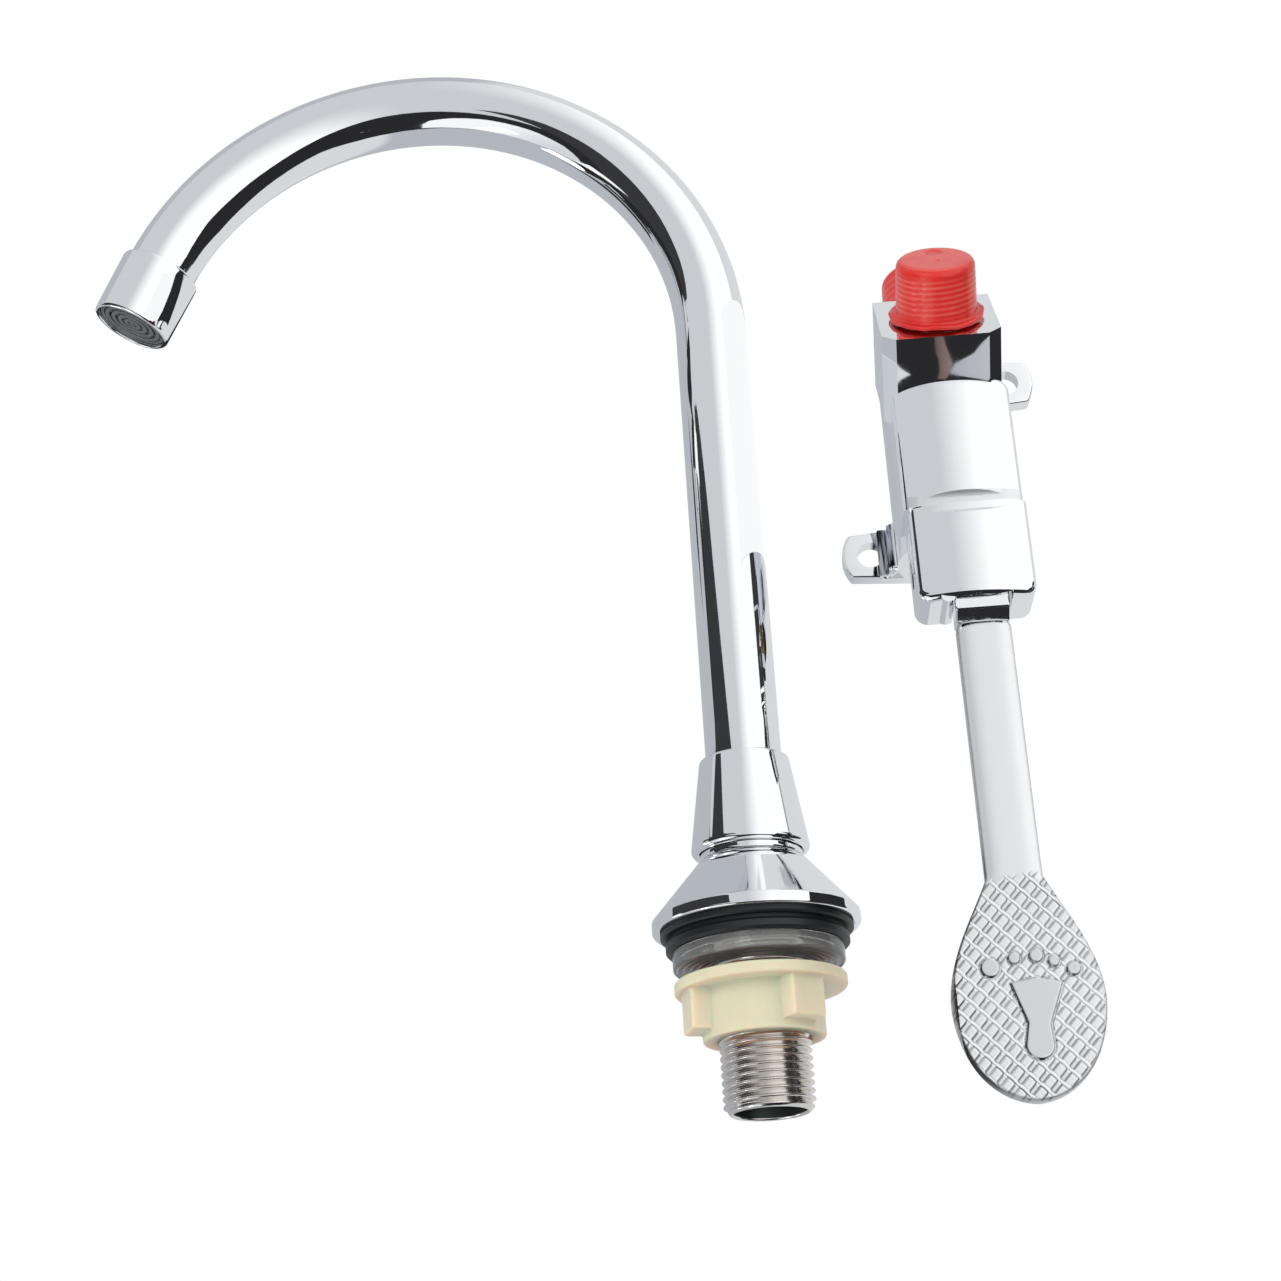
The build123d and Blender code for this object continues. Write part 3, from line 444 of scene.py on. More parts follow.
def spline(points, start, end, count):
    """Cubic spline through points, with start and end as its unit slopes at the ends. With h the step lengths
    and d the mean slopes, its slopes m solve
    m0 / h0 + 2 (1 / h0 + 1 / h1) m1 + m2 / h1 = 3 (d0 / h0 + d1 / h1)."""
    points = np.array(points, float)
    h = np.hypot(*np.diff(points, axis=0).T)
    d = np.diff(points, axis=0) / h[:, None]
    system = np.eye(len(points))
    inner = np.arange(1, len(points) - 1)
    system[inner, inner - 1] = 1 / h[:-1]
    system[inner, inner] = 2 / h[:-1] + 2 / h[1:]
    system[inner, inner + 1] = 1 / h[1:]
    wanted = np.vstack([[start], 3 * (d[:-1] / h[:-1, None] + d[1:] / h[1:, None]), [end]])
    slope = np.linalg.solve(system, wanted)
    knots = np.concatenate([[0], np.cumsum(h)])
    at = np.linspace(0, knots[-1], count)
    i = np.clip(np.searchsorted(knots, at) - 1, 0, len(h) - 1)
    t = ((at - knots[i]) / h[i])[:, None]
    step = h[i][:, None]
    low = (1 + 2 * t) * (1 - t) ** 2 * points[i] + t * (1 - t) ** 2 * step * slope[i]
    return low + t * t * (3 - 2 * t) * points[i + 1] + t * t * (t - 1) * step * slope[i + 1]


# Outline of half the arm and tread. The tread's points are shares of its half width and of its length.
tread_shape = [
    (1.0, 0.0), (0.65, 0.18), (0.895, 0.365), (1.0, 0.56), (0.925, 0.72), (0.66, 0.89), (0.0, 1.0),
]
tread_points = [(tread_half * across, arm_foot - tread_length * down) for across, down in tread_shape]
tread_points[0] = (lever_half, arm_foot)
tread_edge = spline(tread_points, (0.41, -0.912), (-1, 0), 1500)
corner, tip_half = 2.0, 0.6
top_corner = arc((lever_half - corner, arm_top - corner), corner, 90, 0, 20)
arm_edge = np.stack([np.full(200, lever_half), np.linspace(arm_top - corner, arm_foot, 202)[1:-1]], 1)
edge = np.vstack([top_corner, arm_edge, tread_edge[tread_edge[:, 0] > tip_half]])

# Rows of points stand close on the tread and at the arm's top, and far apart along the plain arm.
rows_a_mm = np.where(edge[:, 1] > -6, 4.0, np.where(edge[:, 1] > -61.5, 0.5, 6.1))
steps = np.hypot(np.diff(edge[:, 1]), 0.5 * np.diff(edge[:, 0])) * rows_a_mm[1:]
measure = np.concatenate([[0], np.cumsum(steps)])
rows = np.linspace(0, measure[-1], int(measure[-1]) + 1)
half_at = np.interp(rows, measure, edge[:, 0])[:, None]
height_at = np.interp(rows, measure, edge[:, 1])[:, None]
lean = np.abs(np.gradient(half_at[:, 0] ** 2, height_at[:, 0]) / 2)[:, None]
u = np.linspace(-1, 1, 181)[None, :]
x, z = half_at * u, height_at + 0 * u

# Relief of the tread: short bars along one diagonal, long crests along the other and small pads between the
# bars. s and t count its repeats along the diagonals s_way and t_way, from the middle of one bar.
s_way, t_way = np.array([2.245, -2.40]), np.array([2.33, 2.43])
s_length, t_length, s_half, t_half = 3.286, 3.367, 1.643, 1.683
bar_x, bar_z = -0.51, -73.94
bar_height, pad_height, crest_height = 0.36, 0.22, 0.34
turn_back = np.linalg.inv(np.stack([s_way, t_way], 1))
s = turn_back[0, 0] * (x - bar_x) + turn_back[0, 1] * (z - bar_z)
t = turn_back[1, 0] * (x - bar_x) + turn_back[1, 1] * (z - bar_z)
t = t + 0.02 * np.cos(2 * np.pi * s)
s_off, t_off = np.abs(s - np.round(s)) * s_length, np.abs(t - np.round(t)) * t_length
s_mid, t_mid = s_half - s_off, t_half - t_off
bars = bar_height * soft_step(0.50 - s_off, 0.26) * soft_step(1.30 - t_off, 0.5)
pads = pad_height * soft_step(0.90 - s_mid, 0.30) * soft_step(1.25 - t_off, 0.5)
crests = crest_height * (0.5 + 0.5 * np.cos(np.pi * np.clip(t_mid / 0.85, 0, 1)))
grown = soft_step(arm_foot + 0.13 * x - z, 1.6)
relief = np.maximum(np.maximum(bars, pads), crests) * grown
# Painted light, not relief: darker beside and on the bars and on the pads as painted shade, lighter on the
# crests as a painted highlight.
shade_beside_bar = np.exp(-((s_off - 0.60) / 0.20) ** 2) * soft_step(1.25 - t_off, 0.4)
shade = 0.85 * shade_beside_bar + 0.30 * bars / bar_height + 0.18 * pads / pad_height - 0.3 * crests / crest_height
painted_light_tone = 1 - shade * grown


def past_edges(x, z, corners):
    """Distance outside a convex outline, negative inside: the largest of the distances past its edges."""
    corners = np.array(corners)
    along = np.roll(corners, -1, axis=0) - corners
    out = np.stack([-along[:, 1], along[:, 0]], 1) / np.hypot(*along.T)[:, None]
    gaps = [(x - c[0]) * n[0] + (z - c[1]) * n[1] for c, n in zip(corners, out)]
    return np.max(gaps, axis=0)


# Raised footprint: five toes as (across, down, radius), a sole with rounded corners, and a heel that grows
# along its run. away is the distance outside it.
down = arm_foot - z
toes = [(-7.8, 20.5, 2.15), (-2.4, 18.7, 1.4), (2.5, 18.4, 1.6), (6.3, 19.8, 1.35), (10.4, 21.8, 1.6)]
away = np.min([np.hypot(x - a, down - b) - r for a, b, r in toes], axis=0)
inset = 0.6
sole_corners = [
    (-3.7 + inset, -24.0 - inset), (1.9, -23.2 - inset), (7.5 - inset, -24.6 - inset), (4.1 - inset, -33.5),
    (-0.9 + inset, -33.5),
]
away = np.minimum(away, past_edges(x, -down, sole_corners) - inset)
heel_x, heel_down, heel_radius, heel_growth = 1.6, 32.8, 2.5, 0.7
run_x, run_down = -0.45, 5.4
heel_share = ((x - heel_x) * run_x + (down - heel_down) * run_down) / (run_x**2 + run_down**2)
heel_share = np.clip(heel_share, 0, 1)
heel_gap = np.hypot(x - heel_x - run_x * heel_share, down - heel_down - run_down * heel_share)
away = np.minimum(away, heel_gap - heel_radius - heel_growth * heel_share)
print_wall, print_dome, print_rounding = 0.45, 0.5, 0.45
rounded = np.clip(1 + away / print_rounding, 0, 1)
domed = print_wall + print_dome * np.sqrt(1 - rounded**2)
print_height = np.where(away < 0, domed, print_wall * soft_step(0.04 - away, 0.16))
relief = np.maximum(relief * soft_step(away - 0.3, 0.3), print_height)

# The front, rounded at its edges and crowned along the arm, then the sides and the flat back.
edge_radius, crown_height, back_chamfer, back_columns = 0.45, 0.45, 0.5, 17
side_gap = (half_at**2 - x**2) / (2 * np.sqrt(lean**2 + x**2) + 1e-6)
near = np.clip(1 - np.minimum(side_gap, arm_top - z) / edge_radius, 0, 1)
dip = edge_radius * (1 - np.sqrt(1 - near**2))
crown = crown_height * np.abs(u) ** 4 * soft_step(z + 66, 6)
front = arm_front + dip + crown - relief * soft_step(side_gap - 0.25, 0.5)
back_share = np.concatenate([[1, 1], np.linspace(1, -1, back_columns), [-1]])
back_inset = np.concatenate([[0, 0], np.full(back_columns, back_chamfer), [0]])
back_x = np.maximum(half_at - back_inset, 0.05) * back_share
back_start = arm_back - back_chamfer
back_y = np.concatenate([[arm_side, back_start], np.full(back_columns, arm_back), [back_start]]) + 0 * back_x
across = np.hstack([x, back_x])
depth = np.hstack([front, back_y])
tread = np.stack([across + lever_x, depth, height_at + valve_foot + 0 * across], -1)
columns = across.shape[1]
tread_faces = grid_faces(len(rows), columns, close_columns=True).tolist()
tread_faces += [list(range(columns)), list(range((len(rows) - 1) * columns, len(rows) * columns))]
lever_arm = closed_mesh("lever_arm_and_tread", tread, tread_faces)
# The painted shade and highlight, held level over the footprint, become the plate's colour.
painted_light_tone = np.where(away < 0.1, 0.8, painted_light_tone * soft_step(away + 0.1, 0.6) + 0.2)
put_values(lever_arm, "painted_light_tone", np.hstack([painted_light_tone, np.ones_like(back_x)]))
put_values(lever_arm, "edge", np.hstack([soft_step(0.7 - side_gap, 0.5), np.ones_like(back_x)]))
dress(lever_arm, soft_chrome, "pedal", "pedal_lever")


# Turned fittings of the spout.
# Brass collar, flange and aerator housing, turned, polished and plated like the tube. Polishing has rounded
# their edges by about a millimetre, and those edges show as thin black and white lines.


def turned_points(radius, height, columns, place=None):
    """Rows of points (r cos a, r sin a, z) round an axis; radius and height are one value a row, or one a
    point. place is the axis's frame: its x, y and z directions and its foot."""
    turn = np.linspace(0, 2 * np.pi, columns, endpoint=False)[None, :]
    radius = np.asarray(radius, float)
    radius = radius[:, None] if radius.ndim == 1 else radius
    height = np.asarray(height, float)
    height = height[:, None] if height.ndim == 1 else height
    points = np.stack(np.broadcast_arrays(radius * np.cos(turn), radius * np.sin(turn), height), -1)
    if place is None:
        return points
    x_way, y_way, z_way, foot = [np.array(v, float) for v in place]
    return points[..., :1] * x_way + points[..., 1:2] * y_way + points[..., 2:] * z_way + foot


def turned_mesh(name, profile, columns, place=None, longest=1.5, hold=0.25):
    """A piece turned from a closed profile of (radius, height) points. A side over the longest length gets a
    point at the hold distance from each end, so that smooth shading bends only there."""
    profile = np.array(profile, float)
    side = np.roll(profile, -1, axis=0) - profile
    length = np.hypot(*side.T)
    shares = np.where(length > longest, hold / np.maximum(length, 1e-9), 0)[:, None]
    held = np.stack([profile, profile + shares * side, profile + (1 - shares) * side], 1)
    keep = np.stack([np.full(len(profile), True), length > longest, length > longest], 1)
    profile = held[keep]
    faces = grid_faces(len(profile), columns, close_rows=True, close_columns=True)
    return closed_mesh(name, turned_points(profile[:, 0], profile[:, 1], columns, place), faces)


def flat_where_sharp(piece, angle):
    """Smooth shading up to an angle in degrees, with sharper edges kept."""
    mesh = piece.data
    shell = bmesh.new()
    shell.from_mesh(mesh)
    for edge in shell.edges:
        edge.smooth = len(edge.link_faces) == 2 and edge.calc_face_angle() < math.radians(angle)
    shell.to_mesh(mesh)
    shell.free()


collar_profile = np.vstack([
    [(12.5, 23.0)],
    arc((12.45, 24.4), 1.4, -90, 7, 12),
    arc((10.1, 45.4), 0.6, 8, 90, 6),
    [(9.25, 46.0), (9.25, 41.0), (10.4, 41.0), (10.4, 33.5), (11.05, 33.5), (11.05, 24.4), (12.5, 24.4)],
])
collar = turned_mesh("swivel_collar_polished", collar_profile, 192)
flat_where_sharp(collar, 40)
dress(collar, bright_chrome, "fixed", "swivel_collar")
cone_profile = np.vstack([
    [(10.5, 21.5), (11.6, 21.5)],
    arc((11.9, 21.0), 0.5, 90, 42, 5),
    arc((23.64, 7.35), 0.45, 40, 2, 5),
    arc((23.49, 5.5), 0.6, 0, -90, 6),
    [(22.55, 4.9), (22.55, 6.8), (19.55, 6.8), (12.05, 18.5), (10.5, 18.5)],
])
cone = turned_mesh("cone_flange_polished", cone_profile, 256)
flat_where_sharp(cone, 50)
dress(cone, bright_chrome, "fixed", "cone_flange")

# The housing's axis points 25 degrees off straight down, away from the shank.
mouth_place = ((0, 1, 0), (0.90631, 0, -0.42262), (-0.42262, 0, -0.90631), (-143.545, 0, 193.823))
housing_profile = np.vstack([
    [(9.02, 0.0)],
    arc((9.7, 0.7), 0.7, -90, 0, 7),
    arc((9.35, 16.95), 0.85, 0, 85, 9),
    [(9.2, 17.75), (9.0, 17.55), (9.0, 9.52), (7.2, 9.52), (7.2, 8.02), (9.02, 8.02)],
])
housing = turned_mesh("aerator_housing_polished", housing_profile, 144, mouth_place)
flat_where_sharp(housing, 50)
dress(housing, bright_chrome, "spout", "aerator_housing")


# Valve body.
# One bright-plated zinc casting in its imported shape: barrel, bowed pads, tilted outlet block, ears and the
# fork that holds the lever. Its cast edges are rounded by 0.4 mm. The buffing wheel left the groove between
# the pads dull. Dark streaks of reflection are painted into the plate's colour down the root of the left ear.


def softened_copy(name, node, width, angle):
    """A merged copy of a CAD node, with its flat faces joined and its edges over the angle rounded."""
    made = bpy.data.objects.new(name, nodes[node].data.copy())
    bpy.context.scene.collection.objects.link(made)
    mesh = made.data
    shell = bmesh.new()
    shell.from_mesh(mesh)
    bmesh.ops.remove_doubles(shell, verts=shell.verts, dist=2e-6)
    bmesh.ops.dissolve_limit(shell, angle_limit=math.radians(0.6), verts=shell.verts, edges=shell.edges)
    shell.to_mesh(mesh)
    shell.free()
    if "custom_normal" in mesh.attributes:
        mesh.attributes.remove(mesh.attributes["custom_normal"])
    mesh.materials.clear()
    mesh.polygons.foreach_set("use_smooth", np.full(len(mesh.polygons), True))
    flat_where_sharp(made, 30)
    rounding = made.modifiers.new("cast edges", "BEVEL")
    rounding.width = width
    rounding.segments = 3
    rounding.angle_limit = math.radians(angle)
    rounding.harden_normals = True
    return made


clear_chrome = plating("bright chromium plate, wiped clean", "#F6F7F9", 0.006, 0.02, 0.00002)
valve = softened_copy("valve_body_cast", "valve_body", 0.0004, 38)
dress(valve, clear_chrome, "fixed", "valve_body")
tree = clear_chrome.node_tree
where = add(tree, "ShaderNodeTexCoord")
axes = add(tree, "ShaderNodeSeparateXYZ", None, Vector=(where, "Object"))
times, minus, size_of = {"operation": "MULTIPLY"}, {"operation": "SUBTRACT"}, {"operation": "ABSOLUTE"}
fading = {"To_Min": 1.0, "To_Max": 0.0}

# The ear's root, in metres: right of the bow X + 20 (Z - middle)^2, left of a plane, within 7 mm of the
# middle and behind the casting's front. There the plate's colour carries painted reflection: dark and grey
# streaks 0.9 mm wide, drawn out 14 times along Z.
ear_middle, ear_bow = 0.104, 20.0
up_ear = add(tree, "ShaderNodeMath", minus, i0=(axes, "Z"), i1=ear_middle)
bowed = add(tree, "ShaderNodeMath", times, i0=(up_ear, 0), i1=(up_ear, 0))
past_root = add(tree, "ShaderNodeMath", {"operation": "MULTIPLY_ADD"},
                i0=(bowed, 0), i1=ear_bow, i2=(axes, "X"))
inward = add(tree, "ShaderNodeMapRange", None, Value=(past_root, 0), From_Min=0.0366, From_Max=0.0368)
outward = add(tree, "ShaderNodeMapRange", None, Value=(axes, "X"), From_Min=0.0410, From_Max=0.0414, **fading)
level = add(tree, "ShaderNodeMath", size_of, i0=(up_ear, 0))
beside = add(tree, "ShaderNodeMapRange", None, Value=(level, 0), From_Min=0.0069, From_Max=0.0072, **fading)
behind = add(tree, "ShaderNodeMapRange", None, Value=(axes, "Y"), From_Min=0.0030, From_Max=0.0036)
root = inward
for limit in (outward, beside, behind):
    root = add(tree, "ShaderNodeMath", times, i0=(root, 0), i1=(limit, 0))
drawn = add(tree, "ShaderNodeMapping", None, Vector=(where, "Object"), Scale=(1.0, 0.5, 0.07))
painted_reflection_streaks = add(tree, "ShaderNodeTexNoise", None, Vector=(drawn, 0), Scale=1100.0, Detail=2.0, Distortion=0.3)
skin = add(tree, "ShaderNodeValToRGB", None, Fac=(painted_reflection_streaks, 0))
ramp = skin.color_ramp
ramp.elements[0].position, ramp.elements[0].color = 0.46, linear("#15181C")
ramp.elements[1].position, ramp.elements[1].color = 0.62, linear("#C0C6CE")
# Painted reflection: within the ear's root the plate's colour gives way to the dark and grey streaks.
plate = add(tree, "ShaderNodeMix", {"data_type": "RGBA"}, Factor=(root, 0),
            i6=linear("#F6F7F9"), i7=(skin, 0))
valve_shader = next(n for n in tree.nodes if n.type == "BSDF_PRINCIPLED")
tree.links.new(plate.outputs[2], valve_shader.inputs["Base Color"])

# The groove between the pads, in metres: within 1.2 mm of its middle, on the casting's front alone.
groove_middle, groove_dullness = 0.1, 0.5
groove_off = add(tree, "ShaderNodeMath", minus, i0=(axes, "Z"), i1=groove_middle)
groove_off = add(tree, "ShaderNodeMath", size_of, i0=(groove_off, 0))
unbuffed = add(tree, "ShaderNodeMapRange", None, Value=(groove_off, 0),
               From_Min=0.0012, From_Max=0.0015, To_Min=groove_dullness, To_Max=0.0)
in_front = add(tree, "ShaderNodeMapRange", None, Value=(axes, "Y"),
               From_Min=-0.0216, From_Max=-0.0212, **fading)
unbuffed = add(tree, "ShaderNodeMath", times, i0=(unbuffed, 0), i1=(in_front, 0))
wiped = valve_shader.inputs["Roughness"].links[0].from_node
dull = add(tree, "ShaderNodeMath", {"operation": "ADD"}, i0=(wiped, 0), i1=(unbuffed, 0))
tree.links.new(dull.outputs[0], valve_shader.inputs["Roughness"])

# The left ear's root: its outline in plan, carried up through six heights, drawn in at both ends, with a
# top that slopes down towards the front.
valve_x, ear_back, top_slope = 56.2, 14.2, 0.38
ear_side = np.vstack([
    [(-8.0, 14.2), (-18.6, 14.2), (-18.6, 13.55)],
    arc((-18.6, 11.35), 2.2, 90, 12, 9),
    arc((-14.9, 9.6), 1.7, 178, 262, 9),
    arc((-15.2, 4.6), 3.2, 80, 8, 10),
    [(-11.6, 3.4), (-8.0, 3.4)],
])
ear_heights = np.array([95.9, 96.3, 96.6, 108.8, 109.3, 109.7])
draw_in = np.array([0.5, 0.15, 0.0, 0.0, 0.15, 0.5])[:, None]
ear_x = ear_side[:, 0] + valve_x + draw_in * (ear_side[:, 0] < -9)
ear_y = ear_side[:, 1] + draw_in * (ear_side[:, 1] < 13)
ear_slope = top_slope * (ear_back - ear_side[:, 1]) * (ear_heights[:, None] > 100)
ear_points = np.stack([ear_x, ear_y, ear_heights[:, None] - ear_slope], -1)
count, levels = len(ear_side), len(ear_heights)
ear_faces = grid_faces(levels, count, close_columns=True).tolist()
ear_faces += [list(range(count)), list(range((levels - 1) * count, levels * count))]
ear_root = closed_mesh("left_ear_root", ear_points, ear_faces)
flat_where_sharp(ear_root, 40)
dress(ear_root, clear_chrome, "fixed")


# Shank.
# Brass bar turned and plated: the thread is rolled, so its crests are round, and its nickel is greyer and
# duller than the chromium. The hub over it is polished and carries the ring that the collar turns on.
thread_nickel = plating("nickel plate on a rolled thread", "#E8E3DE", 0.17, 0.07, 0.00003)
# The bore's dark grey is painted shade inside the bore; its dullness is the drilled brass's own.
bore_painted_shade = plating("drilled brass, dull, with painted shade", "#4A5152", 0.42, 0.15, 0.00006)
shank_columns = 144
turn = np.linspace(0, 2 * np.pi, shank_columns, endpoint=False)[None, :]
thread_height = np.linspace(-36.6, 2.6, 303)
pitch, crest, thread_depth = 1.814, 10.478, 1.162
phase = thread_height[:, None] / pitch - turn / (2 * np.pi)
wave = (0.5 + 0.5 * np.cos(2 * np.pi * phase)) ** 0.85
run_in = np.clip((thread_height[:, None] + 37.2) / 1.6, 0, 1)
thread_radius = crest - thread_depth + thread_depth * wave * run_in
mouth = np.array([
    (8.2, 3.4), (8.2, -20.0), (8.2, -36.7), (8.35, -37.05), (8.6, -37.2), (8.95, -37.2), (9.2, -37.0),
])
shoulder = np.array([(9.4, 3.0), (9.0, 3.4)])
radius = np.vstack([mouth[:, :1] + 0 * turn, thread_radius, shoulder[:, :1] + 0 * turn])
height = np.concatenate([mouth[:, 1], thread_height, shoulder[:, 1]])
thread_faces = grid_faces(len(height), shank_columns, close_rows=True, close_columns=True)
shank_thread = closed_mesh("shank_thread", turned_points(radius, height, shank_columns), thread_faces)
dress(shank_thread, thread_nickel, "fixed", "threaded_shank")
shank_thread.data.materials.append(bore_painted_shade)
in_bore = np.arange(len(shank_thread.data.polygons)) < 2 * shank_columns
shank_thread.data.polygons.foreach_set("material_index", in_bore.astype(int))
hub_profile = [
    (8.2, 2.9), (9.2, 2.9), (10.4, 4.0), (10.4, 21.3), (11.6, 21.5), (11.95, 21.62), (12.1, 21.95),
    (12.1, 23.7), (11.95, 24.0), (11.6, 24.1), (10.2, 24.1), (10.2, 24.9), (11.0, 25.6), (11.0, 32.8),
    (10.4, 33.4), (8.6, 33.4), (8.6, 19.5), (8.2, 19.5),
]
shank_hub = turned_mesh("shank_hub", hub_profile, 144)
flat_where_sharp(shank_hub, 40)
dress(shank_hub, bright_chrome, "fixed")


# Washer and backnut under the deck.
# A thick washer of clear PVC with rings moulded in its underside, and an injection-moulded nylon nut: a
# flange, a round core and three lugs for a hand or a box key. Both ride the shank's thread.


def moulded(name, colour, roughness, grain_scale, grain_height, **shader_values):
    """A moulded finish: one colour with a faint mottle about 11 mm across, and the grain of the mould."""
    made, tree = material(name)
    where = add(tree, "ShaderNodeTexCoord")
    mottle = add(tree, "ShaderNodeTexNoise", None, Vector=(where, "Object"), Scale=90.0, Detail=3.0)
    shade = add(tree, "ShaderNodeMapRange", None, Value=(mottle, 0), To_Min=0.92, To_Max=1.06)
    tint = add(tree, "ShaderNodeVectorMath", {"operation": "SCALE"}, i0=linear(colour)[:3], Scale=(shade, 0))
    grain = add(tree, "ShaderNodeTexNoise", None, Vector=(where, "Object"), Scale=grain_scale, Detail=4.0)
    relief = add(tree, "ShaderNodeBump", None, Height=(grain, 0), Strength=0.5, Distance=grain_height)
    shader = add(tree, "ShaderNodeBsdfPrincipled", None, Base_Color=(tint, 0), Roughness=roughness,
                 Normal=(relief, 0), **shader_values)
    add(tree, "ShaderNodeOutputMaterial", None, Surface=(shader, 0))
    return made


clear_vinyl = moulded("moulded clear PVC", "#E2E4E2", 0.12, 700.0, 0.00006,
                      Transmission_Weight=0.88, IOR=1.53)
washer_bore, ring_pitch, ring_height = 11.478, 1.55, 0.16
washer_rings = np.linspace(washer_bore, 19.2, 60)
ring_wave = ring_height * (0.5 + 0.5 * np.cos(2 * np.pi * (washer_rings - washer_bore) / ring_pitch)) ** 3
washer_profile = np.vstack([
    [(washer_bore, 0.0), (washer_bore, -3.7)],
    np.stack([washer_rings, -3.82 - ring_wave], 1),
    arc((19.1, -3.3), 0.7, -90, 0, 7),
    arc((19.5, -0.3), 0.3, 0, 90, 4),
])
clear_washer = turned_mesh("clear_washer_rings", washer_profile, 144)
dress(clear_washer, clear_vinyl, "backnut", "clear_washer")

cream_nylon = moulded("moulded cream nylon", "#CBC6AD", 0.36, 1200.0, 0.00003,
                      Subsurface_Weight=0.8, Subsurface_Scale=0.009)
nut_columns = 540
nut_turn = np.linspace(0, 2 * np.pi, nut_columns, endpoint=False)
core, lug_reach, lug_half, bore = 14.0, 17.8, 4.6, 10.578

# Each lug is a rounded box and is blended into the core: sums of high powers of both outlines.
nut_edge = np.full_like(nut_turn, core)
for lug_turn in (-164, -54, 71):
    off = (nut_turn - math.radians(lug_turn) + np.pi) % (2 * np.pi) - np.pi
    end = lug_reach / np.maximum(np.cos(off), 0.05)
    wall = lug_half / np.maximum(np.abs(np.sin(off)), 1e-3)
    lug = (end**-24.0 + wall**-24.0) ** (-1 / 24)
    lug = np.where(np.abs(off) < 0.6, lug, 0)
    nut_edge = (nut_edge**40 + lug**40) ** (1 / 40)
lug_share = np.clip((nut_edge - core) / 1.5, 0, 1)[None, :]
flange_rows = np.vstack([
    [(bore, -6.8), (15.0, -6.8)],
    arc((19.2, -7.4), 0.6, 90, 0, 6),
    arc((19.2, -8.9), 0.6, 0, -90, 6),
])
fillet_rows = arc((0.9, -10.4), 0.9, 90, 180, 7)
lug_rows = np.vstack([[(0.0, -12.5), (0.0, -15.0)], arc((-0.7, -18.0), 0.7, 0, -90, 6)])
core_lug_rows = np.linspace(-12.0, -18.2, len(lug_rows))
foot_rows = arc((-0.5, -20.2), 0.5, 0, -90, 5)
edge_row = nut_edge[None, :]
nut_radius = np.vstack([
    flange_rows[:, :1] + 0 * edge_row,
    edge_row + fillet_rows[:, :1],
    edge_row + lug_rows[:, :1] * lug_share,
    core + 0.35 * lug_share * (edge_row > core + 0.4) + 0 * edge_row,
    core + 0 * edge_row,
    core + foot_rows[:, :1] + 0 * edge_row,
    np.array([[bore], [bore]]) + 0 * edge_row,
])
nut_height = np.vstack([
    flange_rows[:, 1:] + 0 * edge_row,
    fillet_rows[:, 1:] + 0 * edge_row,
    lug_rows[:, 1:] * lug_share + core_lug_rows[:, None] * (1 - lug_share),
    -18.7 + 0 * edge_row,
    -19.1 + 0 * edge_row,
    foot_rows[:, 1:] + 0 * edge_row,
    np.array([[-20.7], [-14.0]]) + 0 * edge_row,
])
nut_faces = grid_faces(len(nut_radius), nut_columns, close_rows=True, close_columns=True)
nut_mesh = closed_mesh("lugged_backnut", turned_points(nut_radius, nut_height, nut_columns), nut_faces)
dress(nut_mesh, cream_nylon, "backnut", "backnut")


# Red caps.
# Push-on protectors of thin translucent polythene over the outlet and the inlet. They take the print of the
# thread inside, and their brims are wavy. Each has a round dimple and its moulding gate's stub in its end.


def red_cap_plastic():
    """Translucent red with a faint mottle and a glossy skin, lighter where it rests on a thread's crest, and
    lighter over its end as a painted sheen.
    """
    made, tree = material("moulded red polythene")
    where = add(tree, "ShaderNodeTexCoord")
    thread_print_and_painted_sheen = add(tree, "ShaderNodeAttribute", {"attribute_name": "ridge"})
    mottle = add(tree, "ShaderNodeTexNoise", None, Vector=(where, "Object"), Scale=160.0, Detail=3.0)
    share = add(tree, "ShaderNodeMath", times, i0=(thread_print_and_painted_sheen, "Fac"), i1=(mottle, 0))
    colour = add(tree, "ShaderNodeMix", {"data_type": "RGBA"}, Factor=(share, 0),
                 i6=linear("#DE2F27"), i7=linear("#F4776C"))
    relief = add(tree, "ShaderNodeBump", None, Height=(mottle, 0), Strength=0.4, Distance=0.0002)
    shader = add(tree, "ShaderNodeBsdfPrincipled", None, Base_Color=(colour, 2), Normal=(relief, 0),
                 Roughness=0.2, Transmission_Weight=0.3, IOR=1.51,
                 Subsurface_Weight=0.15, Subsurface_Scale=0.002)
    add(tree, "ShaderNodeOutputMaterial", None, Surface=(shader, 0))
    return made


red_polythene = red_cap_plastic()
cap_clearance, cap_wall, brim_reach = 0.12, 1.35, 1.55
ridge_height, dimple_depth, stub_height, stub_radius = 0.06, 0.3, 0.3, 0.5


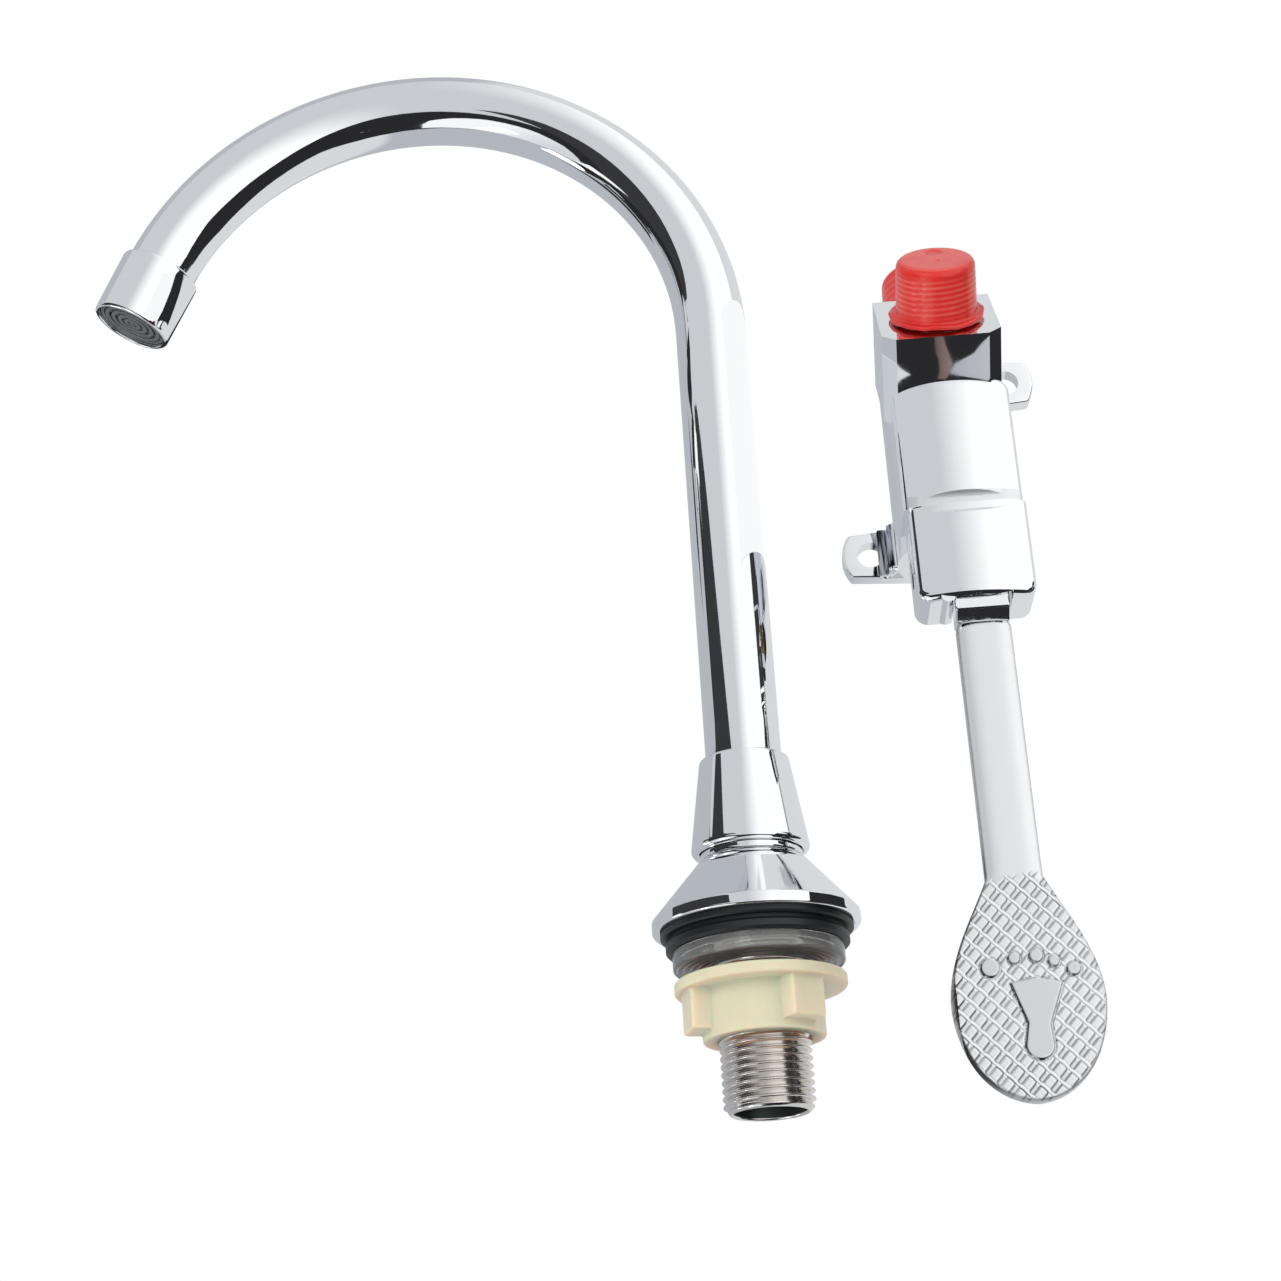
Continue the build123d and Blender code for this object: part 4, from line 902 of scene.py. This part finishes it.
def cap_piece(name, thread_radius, pitch, length, dimple, place, body, node):
    """A cap: its wall is the profile turned about the axis, with a ridge over each crest of
    0.06 (0.5 + 0.5 cos 2 pi (z / pitch - a / 2 pi)) ** 2 mm. Its brim waves by up to 0.4 mm, a sum of sines.
    Its end has a stub and a flat dimple, which is given by its distance off the axis and its radius."""
    columns, row_count = 160, 210
    bore = thread_radius + cap_clearance
    outer = bore + cap_wall
    brim = outer + brim_reach
    path = np.vstack([
        [(0.01, length - 1.3), (bore - 0.6, length - 1.3), (bore, length - 1.9)],
        [(bore, 0.3), (bore + 0.3, 0.0), (brim - 0.3, 0.0)],
        arc((brim - 0.4, 0.6), 0.6, -80, 80, 8),
        arc((outer + 0.7, 1.9), 0.7, -90, -180, 6),
        [(outer - 0.05, 3.0), (outer - 0.3, length - 2.1)],
        arc((outer - 2.2, length - 1.9), 1.9, 0, 90, 10),
        [(0.01, length)],
    ])
    rows = evenly(path, row_count)
    radius, height = rows[:, :1], rows[:, 1:]
    turn = np.linspace(0, 2 * np.pi, columns, endpoint=False)[None, :]
    outside = (np.arange(row_count) > np.argmax(radius[:, 0]))[:, None]
    wall = outside * soft_step(height - 2.6, 1.2) * soft_step(length - 2.8 - height, 1.4)
    ridge = wall * (0.5 + 0.5 * np.cos(2 * np.pi * (height / pitch - turn / (2 * np.pi)))) ** 2
    brim_share = np.clip((radius - outer) / brim_reach, 0, 1)
    wave = 0.20 * np.sin(3 * turn + 0.7) + 0.12 * np.sin(8 * turn + 2.1) + 0.06 * np.sin(17 * turn)
    height = height + brim_share * (wave + 0.1)
    spread = 0.10 * np.sin(5 * turn) + 0.07 * np.sin(13 * turn + 1)
    radius = radius + ridge_height * ridge + brim_share * spread
    x, y = radius * np.cos(turn), radius * np.sin(turn)
    top = outside * (rows[:, :1] < outer - 1.2)
    dent = soft_step(dimple[1] - np.hypot(x, y - dimple[0]), 0.7)
    height = height - top * dimple_depth * dent
    height = height + top * stub_height * soft_step(stub_radius - np.hypot(x - 0.5, y + 1.5), 0.4)
    points = turned_points(radius, height, columns, place)
    faces = grid_faces(row_count, columns, close_columns=True).tolist()
    faces += [list(range(columns)), list(range((row_count - 1) * columns, row_count * columns))]
    made = closed_mesh(name, points, faces)
    # The end, bar its dimple, is lighter too: a painted sheen carried in the same attribute as the thread's
    # print.
    put_values(made, "ridge", ridge + top * 0.7 * (1 - dent))
    dress(made, red_polythene, body, node)


# The outlet's thread is G3/8 and its block leans 50 degrees forward. The inlet's thread is the shank's, G1/2.
outlet_crest, outlet_pitch, outlet_seat = 8.331, 1.337, 0.5
tilt = math.radians(50)
outlet_place = (
    (1, 0, 0),
    (0, math.cos(tilt), math.sin(tilt)),
    (0, -math.sin(tilt), math.cos(tilt)),
    (54.8, -24.072 - outlet_seat * math.sin(tilt), 147.705 + outlet_seat * math.cos(tilt)),
)
inlet_place = ((1, 0, 0), (0, 1, 0), (0, 0, 1), (valve_x, 0, 159.5))
outlet_dimple, inlet_dimple = (4.4, 1.9), (5.2, 2.2)
cap_piece("red_outlet_cap", outlet_crest, outlet_pitch, 14.6, outlet_dimple, outlet_place,
          "outlet_cap", "outlet_cap")
cap_piece("red_inlet_cap", crest, pitch, 13.5, inlet_dimple, inlet_place, "inlet_cap", "inlet_cap")


# Hidden and small pieces.
# Rubber rings, acetal washers and discs, brass bush, gland and plunger, steel pin, spring and screens. Each
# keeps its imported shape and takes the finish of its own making.
black_rubber = moulded("moulded EPDM rubber", "#16191B", 0.45, 1500.0, 0.00005)
paint_nodes(black_rubber, "deck_gasket", "spout_o_rings", "aerator_washer")
paint_nodes(black_rubber, "gland_o_rings", "seat_washer", "nipple_seal")
grey_acetal = moulded("moulded grey acetal", "#66686A", 0.45, 1500.0, 0.00003)
paint_nodes(grey_acetal, "aerator_cartridge", "flow_disc")
white_acetal = moulded("turned white acetal", "#E8E8E4", 0.4, 1500.0, 0.00002)
paint_nodes(white_acetal, "thrust_washer", "slip_washer")
machined_brass = plating("machined brass", "#D9B36A", 0.22, 0.1, 0.00003)
paint_nodes(machined_brass, "spout_end_bush", "gland_bush", "plunger")
drawn_steel = plating("drawn stainless steel", "#C9CACC", 0.2, 0.1, 0.00003)
paint_nodes(drawn_steel, "return_spring", "aerator_screens", "inlet_strainer", "hinge_pin")
